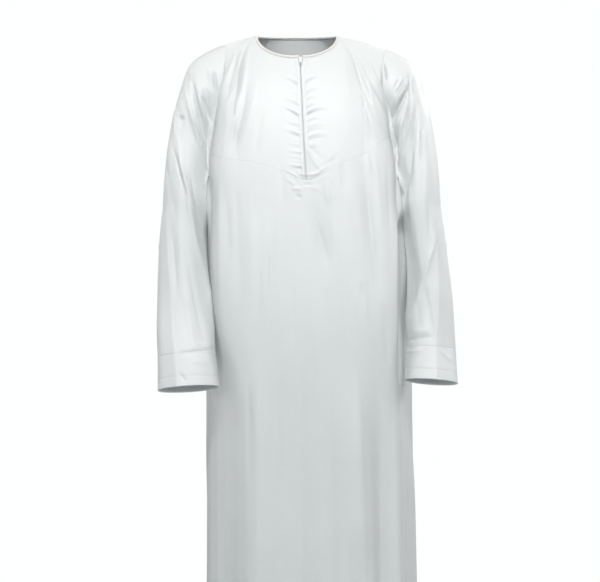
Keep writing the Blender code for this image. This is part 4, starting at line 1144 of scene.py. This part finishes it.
def fine_side(side):
    shares = spaced(0, 1, 0.05, (0, 0.12, 0.014), (0, 0.02, 0.008), (0.98, 1, 0.008))
    down = spaced(0, 1, 0.0048, (0, 0.01, 0.001), (0.996, 1, 0.0009))[:, None]
    z = UNDERARM + down * (-LENGTH - UNDERARM)
    p = ring(side_angles(side, z, shares), z)
    n = normals(p, side)
    slack = strokes(SIDE_FINE, p[..., 1] * 1000, p[..., 2] * 1000 + 11 * side) + 0.0007 * wander(p, 0.14, 15 + side)
    height = lift(p) + slack * beside_edge(2 * shares - 1, 0.20) * smooth((UNDERARM - p[..., 2]) / 0.03)
    height += side_fold(side, shares, p[..., 2])
    under_sleeve = smooth((-0.287 - p[..., 2]) / 0.012) * (1 - smooth((-0.345 - p[..., 2]) / 0.06))
    height += 0.0064 * smooth(shares / 0.11) * (1 - smooth((shares - 0.30) / 0.36)) * under_sleeve
    return finish(p, height, n, {"bottom": "hem", "last": "seam", "first": "seam", "top": "seam"}), (p, n, height)


def armhole_at(side, theta):
    """The armhole's point that meets the sleeve theta degrees round it."""
    at = np.array([float(side)])
    share, start = seam_share(at)[0], neck_gap(at, False, 0.0)[0]
    front = np.where(
        theta <= 152 * 0.86,
        start + (share - start) * theta / (152 * 0.86),
        share + (1 - share) * (theta - 152 * 0.86) / (152 * 0.14),
    )
    edge = np.full_like(theta, float(side))
    ahead = upper(edge, np.clip(front, 0, 1))
    ahead += armhole_out(edge, np.clip(front, 0, 1), False)
    under = ring(side_angles(side, np.full_like(theta, UNDERARM), np.clip((theta - 152) / 56, 0, 1)), np.full_like(theta, UNDERARM))
    turn = np.clip((360 - theta) / 152, 0, 1)
    behind = upper(edge, turn, True) + armhole_out(edge, turn, True)
    return np.where((theta <= 152)[:, None], ahead, np.where((theta >= 208)[:, None], behind, under))


def armhole_out(edge, t, back):
    """What the panel's large folds add at its armhole edge."""
    return upper_folded(edge, t, back) - upper(edge, t, back)


def fine_columns(side):
    middle = 60 if side < 0 else 72
    return spaced(0, 360, 5.4, (18, 95, 2.1), (95, 160, 1.15), (160, 184, 1.8), (middle - 6, middle + 6, 1.6))[:-1]


def sleeve_height(side, p, theta):
    u, v = seen(p)
    ahead = smooth((np.sin(np.radians(theta)) + 0.10) / 0.30)
    before, behind = (SLEEVE_FINE_RIGHT, SLEEVE_BACK_RIGHT) if side < 0 else (SLEEVE_FINE_LEFT, SLEEVE_BACK_LEFT)
    height = strokes(before, u, v) * ahead + strokes(behind, p[..., 0] * 1000, p[..., 2] * 1000) * (1 - ahead)
    return height + 0.0007 * wander(p, 0.10, 21 + side)


def fine_sleeve(side):
    theta = fine_columns(side)
    start = armhole_at(side, theta)
    end = sleeve_section(side, theta, np.full_like(theta, SLEEVE_RIGHT["z"][0]), 8.0)
    rows = spaced(0, 1, 0.0105, (0, 0.03, 0.0022))[:, None]
    cap = cap_form(side, theta, start, end, rows)
    bottom = CUFF_RIGHT_TOP if side < 0 else CUFF_LEFT_TOP
    z = spaced(0, 1, 0.0105, (0.98, 1, 0.003))[1:, None]
    z = SLEEVE_RIGHT["z"][0] + z * (bottom - SLEEVE_RIGHT["z"][0]) + 0 * theta
    p = np.concatenate([cap, sleeve_section(side, theta, z, 8.0)])
    n = normals(p, -side, closed=True)
    height = sleeve_height(side, p, theta)
    near = travel(p, 0)
    height = height * smooth(near / 0.0035)
    # it hangs against the side, over the front panel's edge
    inner = np.exp(-(((theta - 163) / 27) ** 2)) * smooth(near / 0.018) * smooth((p[..., 2] - bottom) / 0.06)
    high, low = inner * smooth((-0.282 - p[..., 2]) / 0.035), 1 - smooth((-0.47 - p[..., 2]) / 0.08)
    height += high * (0.0085 * low + 0.0064 * (1 - low) if side > 0 else 0.0036 * low + 0.0074 * (1 - low))
    # and lies back beside the armhole's front
    ahead = np.exp(-(((theta - 112) / 38) ** 4))
    height -= (0.0062 if side > 0 else 0.0054) * ahead * smooth(near / 0.0038) * (1 - smooth((near - 0.010) / 0.030))
    return finish(p, height, n, {"bottom": "seam", "top": "lap"}), (p, n, height)


def fine_cuff(side):
    theta = fine_columns(side)
    tab, top = (SLEEVE_RIGHT, CUFF_RIGHT_TOP) if side < 0 else (SLEEVE_LEFT, CUFF_LEFT_TOP)
    z = spaced(0, 1, 0.028, (0, 0.04, 0.012), (0.97, 1, 0.010))[:, None]
    z = top + z * (tab["z"][-1] - top) + 0 * theta
    p = sleeve_section(side, theta, z, 8.0)
    n = normals(p, -side, closed=True)
    height = sleeve_height(side, p, theta) + 0.0003
    return finish(p, height, n, {"bottom": "hem", "top": "seam"}), (p, n, height)


# ------------------------------------------------------------------ materials
def nodes_of(name):
    mat = bpy.data.materials.new(name)
    mat.use_nodes = True
    tree = mat.node_tree
    tree.nodes.clear()
    out = tree.nodes.new("ShaderNodeOutputMaterial")
    shader = tree.nodes.new("ShaderNodeBsdfPrincipled")
    tree.links.new(shader.outputs["BSDF"], out.inputs["Surface"])
    return mat, tree, shader


def maths(tree, how, a, b=None):
    node = tree.nodes.new("ShaderNodeMath")
    node.operation = how
    for slot, value in zip(node.inputs, (a, b)):
        if value is None:
            continue
        if isinstance(value, (int, float)):
            slot.default_value = value
        else:
            tree.links.new(value, slot)
    return node.outputs[0]


def satin(name, colour, shade=0.03, rough=0.48, thread=0.00045, weave=0.10, slub=0.06, sheen=0.25):
    """White satin: fine threads both ways, slightly uneven, with a soft gloss, and painted shade darkening its deep
    folds.
    """
    mat, tree, shader = nodes_of(name)
    place = tree.nodes.new("ShaderNodeUVMap")
    place.uv_map = "cloth"
    split = tree.nodes.new("ShaderNodeSeparateXYZ")
    tree.links.new(place.outputs["UV"], split.inputs[0])
    where = tree.nodes.new("ShaderNodeTexCoord")

    # threads: warp over weft, stepping like satin
    turn = 2 * math.pi / thread
    warp = maths(tree, "SINE", maths(tree, "MULTIPLY", split.outputs[0], turn))
    weft = maths(tree, "SINE", maths(tree, "MULTIPLY", split.outputs[1], turn * 0.8))
    slant = maths(tree, "SINE", maths(tree, "ADD", maths(tree, "MULTIPLY", split.outputs[0], turn / 5), maths(tree, "MULTIPLY", split.outputs[1], turn / 4)))
    threads = maths(tree, "ADD", maths(tree, "MULTIPLY", warp, 0.55), maths(tree, "ADD", maths(tree, "MULTIPLY", weft, 0.30), maths(tree, "MULTIPLY", slant, 0.15)))

    # uneven threads, long in the warp's direction
    stretch = tree.nodes.new("ShaderNodeMapping")
    stretch.inputs["Scale"].default_value = (900.0, 60.0, 1.0)
    tree.links.new(place.outputs["UV"], stretch.inputs["Vector"])
    uneven = tree.nodes.new("ShaderNodeTexNoise")
    uneven.inputs["Scale"].default_value = 1.0
    uneven.inputs["Detail"].default_value = 3.0
    tree.links.new(stretch.outputs["Vector"], uneven.inputs["Vector"])

    # broad, faint variation of tone over the cloth
    broad = tree.nodes.new("ShaderNodeTexNoise")
    broad.inputs["Scale"].default_value = 9.0
    broad.inputs["Detail"].default_value = 4.0
    broad.inputs["Roughness"].default_value = 0.55
    tree.links.new(where.outputs["Object"], broad.inputs["Vector"])

    ramp = tree.nodes.new("ShaderNodeValToRGB")
    ramp.color_ramp.elements[0].position = 0.30
    ramp.color_ramp.elements[1].position = 0.70
    ramp.color_ramp.elements[0].color = (*[c * (1 - shade) for c in colour], 1)
    ramp.color_ramp.elements[1].color = (*[min(c * (1 + shade * 0.5), 1) for c in colour], 1)
    mixed = maths(tree, "ADD", maths(tree, "MULTIPLY", broad.outputs["Fac"], 0.65), maths(tree, "MULTIPLY", uneven.outputs["Fac"], 0.35))
    tree.links.new(mixed, ramp.inputs["Fac"])

    # painted shade: where ambient occlusion finds a deep fold, the base colour is darkened, standing in for the shade
    # that falls there
    deep = tree.nodes.new("ShaderNodeAmbientOcclusion")
    deep.samples = 4
    deep.inputs["Distance"].default_value = 0.045
    fold = tree.nodes.new("ShaderNodeValToRGB")
    fold.color_ramp.elements[0].position = 0.0
    fold.color_ramp.elements[0].color = (0, 0, 0, 1)
    fold.color_ramp.elements[1].position = 0.93
    fold.color_ramp.elements[1].color = (0, 0, 0, 1)
    for at, much in ((0.30, 0.08), (0.46, 0.65), (0.62, 1.0)):
        step = fold.color_ramp.elements.new(at)
        step.color = (much, much, much, 1)
    tree.links.new(deep.outputs["AO"], fold.inputs["Fac"])
    painted_fold_shade = tree.nodes.new("ShaderNodeMix")
    painted_fold_shade.data_type = "RGBA"
    painted_fold_shade.blend_type = "MULTIPLY"
    tree.links.new(maths(tree, "MULTIPLY", fold.outputs["Color"], 0.62), painted_fold_shade.inputs[0])
    tree.links.new(ramp.outputs["Color"], painted_fold_shade.inputs[6])
    # the colour that the painted fold shade multiplies into the cloth's base colour
    painted_fold_shade.inputs[7].default_value = (0.60, 0.62, 0.62, 1)
    tree.links.new(painted_fold_shade.outputs[2], shader.inputs["Base Color"])

    gloss = maths(tree, "ADD", maths(tree, "MULTIPLY", uneven.outputs["Fac"], 0.10), rough - 0.05)
    tree.links.new(gloss, shader.inputs["Roughness"])
    shader.inputs["Specular IOR Level"].default_value = 0.5
    shader.inputs["Sheen Weight"].default_value = sheen
    shader.inputs["Sheen Roughness"].default_value = 0.35
    shader.inputs["Anisotropic"].default_value = 0.35

    fine = tree.nodes.new("ShaderNodeBump")
    fine.inputs["Strength"].default_value = weave
    fine.inputs["Distance"].default_value = 0.00008
    tree.links.new(threads, fine.inputs["Height"])
    long = tree.nodes.new("ShaderNodeBump")
    long.inputs["Strength"].default_value = slub
    long.inputs["Distance"].default_value = 0.0004
    tree.links.new(uneven.outputs["Fac"], long.inputs["Height"])
    tree.links.new(fine.outputs["Normal"], long.inputs["Normal"])
    tree.links.new(long.outputs["Normal"], shader.inputs["Normal"])
    return mat


def grained(name, colour, rough, metallic=0.0, grain=400.0, depth=0.00006, shade=0.06, sheen=0.0):
    """Thread, tape, enamel or nylon: a fine grain over a slightly uneven colour."""
    mat, tree, shader = nodes_of(name)
    where = tree.nodes.new("ShaderNodeTexCoord")
    noise = tree.nodes.new("ShaderNodeTexNoise")
    noise.inputs["Scale"].default_value = grain
    noise.inputs["Detail"].default_value = 3.0
    tree.links.new(where.outputs["Object"], noise.inputs["Vector"])
    ramp = tree.nodes.new("ShaderNodeValToRGB")
    ramp.color_ramp.elements[0].position = 0.3
    ramp.color_ramp.elements[1].position = 0.7
    ramp.color_ramp.elements[0].color = (*[c * (1 - shade) for c in colour], 1)
    ramp.color_ramp.elements[1].color = (*colour, 1)
    tree.links.new(noise.outputs["Fac"], ramp.inputs["Fac"])
    tree.links.new(ramp.outputs["Color"], shader.inputs["Base Color"])
    gloss = maths(tree, "ADD", maths(tree, "MULTIPLY", noise.outputs["Fac"], 0.12), rough - 0.06)
    tree.links.new(gloss, shader.inputs["Roughness"])
    shader.inputs["Metallic"].default_value = metallic
    shader.inputs["Sheen Weight"].default_value = sheen
    bump = tree.nodes.new("ShaderNodeBump")
    bump.inputs["Strength"].default_value = 0.3
    bump.inputs["Distance"].default_value = depth
    tree.links.new(noise.outputs["Fac"], bump.inputs["Height"])
    tree.links.new(bump.outputs["Normal"], shader.inputs["Normal"])
    return mat


WHITE = (0.836, 0.850, 0.845)
cloth = satin("robe_cloth", WHITE)
thread = grained("sewing_thread", (0.80, 0.81, 0.81), 0.55, grain=2500.0)
bound = satin("binding_cloth", (0.86, 0.83, 0.78), rough=0.45, thread=0.00040)
tape = grained("zip_tape_weave", (0.74, 0.75, 0.77), 0.75, grain=1500.0)
nylon = grained("zip_chain_nylon", (0.62, 0.64, 0.68), 0.40, grain=900.0)
enamel = grained("zip_enamel", (0.60, 0.62, 0.67), 0.30, 0.35, grain=700.0, depth=0.00002)


# ------------------------------------------------------------------ stitches
def stitches(name, points, faces, mat, pitch=0.0026, radius=0.00024, gap=0.0006, sink=0.00015):
    """Small round-ended stitches along a line of points, lying on the cloth."""
    step = np.linalg.norm(np.diff(points, axis=0), axis=1)
    run = np.concatenate([[0], np.cumsum(step)])
    centres = np.arange(pitch / 2, run[-1], pitch)
    read = lambda a, at: np.stack([np.interp(at, run, a[:, k]) for k in range(3)], axis=-1)
    middle, n = read(points, centres), unit(read(faces, centres))
    ahead = unit(read(points, np.minimum(centres + pitch / 2, run[-1])) - read(points, centres - pitch / 2))
    side = np.cross(ahead, n)
    half = (pitch - gap) / 2
    rings = [(-1.0, 0.0), (-0.82, 0.65), (-0.45, 1.0), (0.45, 1.0), (0.82, 0.65), (1.0, 0.0)]
    turns = np.radians(np.arange(6) * 60.0)
    verts, quads = [], []
    for place, wide in rings:
        for a in turns:
            arch = -0.35 * abs(place) * radius
            verts.append(
                middle + ahead * half * place + side * radius * wide * math.cos(a) + n * (radius * wide * math.sin(a) + arch + radius - sink)
            )
    verts = np.stack(verts, axis=1)
    base = np.arange(len(centres)) * 36
    for r in range(5):
        for k in range(6):
            m = (k + 1) % 6
            quads.append(np.stack([base + r * 6 + k, base + (r + 1) * 6 + k, base + (r + 1) * 6 + m, base + r * 6 + m], axis=-1))
    mesh = bpy.data.meshes.new(name)
    mesh.from_pydata(verts.reshape(-1, 3).tolist(), [], np.concatenate(quads).tolist())
    mesh.update()
    bm = bmesh.new()
    bm.from_mesh(mesh)
    bmesh.ops.remove_doubles(bm, verts=bm.verts, dist=0.00001)
    bmesh.ops.recalc_face_normals(bm, faces=bm.faces)
    bm.to_mesh(mesh)
    bm.free()
    mesh.shade_smooth()
    mesh.materials.append(mat)
    obj = bpy.data.objects.new(name, mesh)
    bpy.context.scene.collection.objects.link(obj)
    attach(obj, "garment")
    return obj


def join(name, parts):
    """Joins several stitch meshes into one piece."""
    bm = bmesh.new()
    for part in parts:
        bm.from_mesh(part.data)
    mesh = parts[0].data
    bm.to_mesh(mesh)
    bm.free()
    for part in parts[1:]:
        bpy.data.objects.remove(part, do_unlink=True)
    parts[0].name = name
    mesh.shade_smooth()
    return parts[0]


def line_at(grid, edge, distance, first=0, last=None, lift_by=WALL / 2):
    """A line on a fine grid, a given distance in from one of its edges."""
    p, n, height = grid
    surface = p + n * (height + lift_by)[..., None]
    if edge in ("bottom", "top"):
        d = travel(surface, 0)
        d = d[-1:] - d if edge == "bottom" else d
        axis = 0
    else:
        d = travel(surface, 1)
        d = d[:, -1:] - d if edge == "last" else d
        axis = 1
    k = np.argmin(np.abs(d - distance), axis=axis)
    if axis == 0:
        j = np.arange(surface.shape[1])
        pts, nrm = surface[k, j], n[k, j]
    else:
        j = np.arange(surface.shape[0])
        pts, nrm = surface[j, k], n[j, k]
    keep = 5 if len(pts) > 40 else 3
    kernel = np.ones(keep) / keep
    soft = lambda a: np.stack([np.convolve(np.pad(a[:, c], keep // 2, mode="edge"), kernel, "valid") for c in range(3)], axis=-1)
    return soft(pts)[first:last], unit(soft(nrm))[first:last]


# ------------------------------------------------------------------ the cloth pieces
def make(name, node, made, closed=False, flip=False, mat=cloth):
    (points, place), grid = made
    obj = panel(name, points, place, mat, closed, flip)
    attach(obj, "garment")
    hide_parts(node)
    return obj, grid


yoke_r, yoke_r_grid = make("yoke_right_cloth", "front_yoke_right", fine_yoke(-1), flip=True)
yoke_l, yoke_l_grid = make("yoke_left_cloth", "front_yoke_left", fine_yoke(1))
front, front_grid = make("front_cloth", "front_panel", fine_front())
back, back_grid = make("back_cloth", "back_panel", fine_back(), flip=True)
side_r, side_r_grid = make("side_cloth_right", "side_panel_right", fine_side(-1), flip=True)
side_l, side_l_grid = make("side_cloth_left", "side_panel_left", fine_side(1))
sleeve_r, sleeve_r_grid = make("sleeve_cloth_right", "sleeve_right", fine_sleeve(-1), closed=True)
sleeve_l, sleeve_l_grid = make("sleeve_cloth_left", "sleeve_left", fine_sleeve(1), closed=True, flip=True)
cuff_r, cuff_r_grid = make("cuff_cloth_right", "cuff_right", fine_cuff(-1), closed=True)
cuff_l, cuff_l_grid = make("cuff_cloth_left", "cuff_left", fine_cuff(1), closed=True, flip=True)


def binding_piece():
    """The bound edge: a strip folded over the panels' edges, open only at the slit."""
    gap = (SLIT_MOUTH - 0.0004) / (NECK_HALF * math.pi / 2) * NECK_SHARE
    half = np.linspace(0, 1, 56)
    runs = (
        (SLIT + gap + (NECK_SHARE - SLIT - gap) * half, False),
        (NECK_SHARE * (1 - 2 * np.linspace(0, 1, 90)[1:-1]), True),
        (-NECK_SHARE + (NECK_SHARE + SLIT - gap) * half, False),
    )
    edge, square, along_edge = [], [], []
    for columns, behind in runs:
        _, sq = neck_frame(columns, behind)
        at = neckline(columns / NECK_SHARE, behind)
        edge.append(at)
        square.append(sq)
    edge, square = np.concatenate(edge), np.concatenate(square)
    for _ in range(6):
        square = unit(np.concatenate([square[:1], (square[:-2] + 2 * square[1:-1] + square[2:]) / 4, square[-1:]]))
    forward = unit(np.gradient(edge, axis=0))
    out = unit(np.cross(forward, square))
    centre = edge.mean(0)
    if np.sum(out[10] * (edge[10] - centre)) < 0:
        out = -out
    profile = np.array([
        (5.4, 0.78), (5.3, 1.02), (4.2, 1.16), (2.8, 1.18), (1.4, 1.12), (0.55, 0.86), (0.15, 0.42), (0.05, 0.0),
        (0.15, -0.42), (0.55, -0.86), (1.4, -1.12), (2.8, -1.18), (4.2, -1.14), (5.4, -1.0),
    ]) * 0.001
    rise = np.exp(-((np.arange(len(edge)) / 5.0) ** 2)) + np.exp(-(((len(edge) - 1 - np.arange(len(edge))) / 5.0) ** 2))
    rise = rise * 0.0012
    wave = 0.00018 * np.sin(np.arange(len(edge)) * 1.3) + 0.00014 * np.sin(np.arange(len(edge)) * 0.47 + 1)
    grid = (
        edge[None]
        + square[None] * (profile[:, 0, None, None] - rise[None, :, None])
        + out[None] * (profile[:, 1, None] * (1 + 60 * wave[None, :]))[..., None]
    )
    place = np.stack([np.broadcast_to(travel(edge[None], 1), grid.shape[:2]), travel(grid, 0)], axis=-1)
    obj = panel("binding_cloth", grid, place, bound, wall=0.0006)
    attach(obj, "garment")
    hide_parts("neck_binding")
    line = edge + square * 0.0043 + out * 0.00150
    return line, out


binding_line, binding_out = binding_piece()


# ------------------------------------------------------------------ zip chain behind the slit
def zip_chain():
    """Two rows of coil loops that meet along the middle of the slit."""
    at = np.array([SLIT])
    share = seam_share(at)[0]
    t = np.linspace(0.055, share * 0.97, 160)
    p = upper_folded(np.full_like(t, SLIT), t)
    near = upper_folded(np.full_like(t, SLIT + 0.01), t) - upper_folded(np.full_like(t, SLIT - 0.01), t)
    ahead = unit(np.gradient(p, axis=0))
    out = unit(np.cross(ahead, near))
    side = unit(np.cross(out, ahead))
    rows = []
    for sign in (-1, 1):
        for low in (0.0,):
            line = p - out * 0.00175 + side * sign * 0.00095
            rows.append((line, ahead, side * sign, out))
    verts, quads = [], []
    step = np.linalg.norm(np.diff(p, axis=0), axis=1)
    run = np.concatenate([[0], np.cumsum(step)])
    pitch = 0.00125
    for k, (line, ahead, side, out) in enumerate(rows):
        centres = np.arange(pitch / 2 + k * pitch / 2, run[-1], pitch)
        read = lambda a: np.stack([np.interp(centres, run, a[:, c]) for c in range(3)], axis=-1)
        m, a, s, o = read(line), unit(read(ahead)), unit(read(side)), unit(read(out))
        rings = ((-1.0, 0.0), (-0.85, 0.7), (-0.3, 1.0), (0.5, 1.0), (0.9, 0.75), (1.0, 0.0))
        block = []
        for where, wide in rings:
            for q in range(6):
                ang = math.radians(60 * q)
                block.append(m - s * 0.0011 * where + a * 0.00046 * wide * math.cos(ang) + o * 0.00052 * wide * math.sin(ang))
        block = np.stack(block, axis=1)
        base = np.arange(len(centres)) * 36 + sum(len(v) for v in verts)
        verts.append(block.reshape(-1, 3))
        for r in range(5):
            for q in range(6):
                w = (q + 1) % 6
                quads.append(np.stack([base + r * 6 + q, base + (r + 1) * 6 + q, base + (r + 1) * 6 + w, base + r * 6 + w], axis=-1))
    mesh = bpy.data.meshes.new("zip_chain")
    mesh.from_pydata(np.concatenate(verts).tolist(), [], np.concatenate(quads).tolist())
    bm = bmesh.new()
    bm.from_mesh(mesh)
    bmesh.ops.remove_doubles(bm, verts=bm.verts, dist=0.00001)
    bmesh.ops.recalc_face_normals(bm, faces=bm.faces)
    bm.to_mesh(mesh)
    bm.free()
    mesh.shade_smooth()
    mesh.materials.append(nylon)
    obj = bpy.data.objects.new("zip_chain", mesh)
    bpy.context.scene.collection.objects.link(obj)
    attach(obj, "garment")
    return obj


zip_chain()

# ------------------------------------------------------------------ seams' stitching
rows_of_stitches = []
for grid, side in ((yoke_r_grid, -1), (yoke_l_grid, 1)):
    line, face = line_at(grid, "first", 0.0085, 9, -6)
    rows_of_stitches.append(stitches("zip_stitches", line, face, thread))
rows_of_stitches.append(stitches("binding_stitches", binding_line, binding_out, thread, pitch=0.0024))
for grid, sense in ((cuff_r_grid, 1), (cuff_l_grid, 1)):
    line, face = line_at(grid, "bottom", 0.0205)
    line, face = np.concatenate([line, line[:1]]), np.concatenate([face, face[:1]])
    rows_of_stitches.append(stitches("cuff_stitches", line, face, thread, pitch=0.0028))
for grid in (front_grid, back_grid, side_r_grid, side_l_grid):
    line, face = line_at(grid, "bottom", 0.0205)
    rows_of_stitches.append(stitches("hem_stitches", line, face, thread, pitch=0.0030))
join("stitching", rows_of_stitches)


# ------------------------------------------------------------------ side pocket's end
def pocket_piece():
    shares = np.linspace(0.05, 0.24, 14)
    z = np.linspace(-0.548, -0.700, 80)[:, None]
    p = skirt(side_angles(1, z, shares), z)
    n = normals(p, 1)
    across = travel(p, 1)
    height = 0.0008 + 0.0012 * smooth((-0.548 - z) / 0.01) * smooth((z + 0.700) / 0.02) - 0.0006 * np.exp(-(((across - 0.003) / 0.0012) ** 2))
    points, place = finish(p, height + side_fold(1, shares, z), n, {})
    obj = panel("pocket_cloth", points, place, cloth, wall=0.0008)
    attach(obj, "garment")
    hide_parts("pocket_welt")


pocket_piece()

for name, mat in (("zip_tape", tape), ("zip_slider", enamel), ("zip_pull", enamel)):
    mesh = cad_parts[name].data
    mesh.materials.clear()
    mesh.materials.append(mat)


# ------------------------------------------------------------------ floor, light and camera
def area(name, place, aim, size, power, colour=(1, 1, 1), spread=180):
    light = bpy.data.lights.new(name, "AREA")
    light.shape = "RECTANGLE"
    light.size, light.size_y = size
    light.energy = power
    light.color = colour
    light.spread = math.radians(spread)
    obj = bpy.data.objects.new(name, light)
    obj.location = place
    obj.rotation_mode = "QUATERNION"
    obj.rotation_quaternion = (Vector(aim) - Vector(place)).to_track_quat("-Z", "Y")
    bpy.context.scene.collection.objects.link(obj)
    obj.visible_camera = False
    return obj


floor_mesh = bpy.data.meshes.new("floor")
bm = bmesh.new()
bmesh.ops.create_circle(bm, cap_ends=True, radius=2.1, segments=96)
bm.to_mesh(floor_mesh)
bm.free()
floor = bpy.data.objects.new("floor", floor_mesh)
floor.location = (0, 0.0, -1.52)
floor_mesh.materials.append(grained("floor_paint", (0.62, 0.63, 0.65), 0.7, grain=40.0, depth=0.0002, shade=0.02))
bpy.context.scene.collection.objects.link(floor)

world = bpy.data.worlds.new("studio")
bpy.context.scene.world = world
world.use_nodes = True
tree = world.node_tree
tree.nodes.clear()
wout = tree.nodes.new("ShaderNodeOutputWorld")
wback = tree.nodes.new("ShaderNodeBackground")
tree.links.new(wback.outputs[0], wout.inputs["Surface"])
way = tree.nodes.new("ShaderNodeTexCoord")
wsplit = tree.nodes.new("ShaderNodeSeparateXYZ")
tree.links.new(way.outputs["Generated"], wsplit.inputs[0])


def span(value, low, high, start, end):
    node = tree.nodes.new("ShaderNodeMapRange")
    node.interpolation_type = "SMOOTHSTEP"
    tree.links.new(value, node.inputs["Value"])
    for key, number in zip(("From Min", "From Max", "To Min", "To Max"), (low, high, start, end)):
        node.inputs[key].default_value = number
    return node.outputs["Result"]


overhead = span(wsplit.outputs["Z"], -0.55, 0.60, 0.09, 0.38)
ahead_dir = span(wsplit.outputs["Y"], -0.2, 0.9, 0.0, 0.06)
backdrop = span(wsplit.outputs["Y"], 0.940, 0.968, 0.0, 1.0)
glow = maths(tree, "ADD", overhead, ahead_dir)
glow = maths(tree, "MAXIMUM", glow, maths(tree, "MULTIPLY", backdrop, 1.02))
tree.links.new(glow, wback.inputs["Strength"])
wback.inputs["Color"].default_value = (0.97, 0.99, 1.0, 1)

area("key", (0.10, -2.3, 1.9), (0.0, 0.0, -0.25), (0.9, 0.5), 60, (1.0, 0.996, 0.982))
area("chest", (-0.1, -3.2, 0.35), (0.0, 0.0, -0.30), (1.0, 0.3), 0.42, (1.0, 0.995, 0.985), 28)
area("front_fill", (-0.3, -4.2, -0.3), (0.0, 0.0, -0.95), (1.8, 1.6), 16, (0.72, 0.90, 1.0))
area("side_right", (-2.4, 0.9, 0.4), (-0.2, 0.0, -0.36), (1.0, 0.8), 0.92, (1.0, 0.995, 0.985), 30)
area("side_left", (2.4, 0.9, 0.4), (0.2, 0.0, -0.36), (1.0, 0.8), 0.78, (1.0, 0.995, 0.985), 30)
area("behind", (2.3, 2.4, 1.5), (0.0, 0.0, -0.5), (0.7, 0.6), 50, (0.98, 0.99, 1.0))

camera = bpy.data.objects.new("camera", bpy.data.cameras.new("camera"))
camera.data.sensor_width = 36.0
camera.data.sensor_fit = "HORIZONTAL"
camera.data.lens = 105.0
camera.data.clip_start, camera.data.clip_end = 0.05, 60
camera.location = (0.0, -VIEW_DISTANCE, VIEW_HEIGHT)
camera.rotation_euler = (math.pi / 2, 0, 0)
bpy.context.scene.collection.objects.link(camera)
bpy.context.scene.camera = camera
bpy.context.scene.view_settings.view_transform = "Standard"
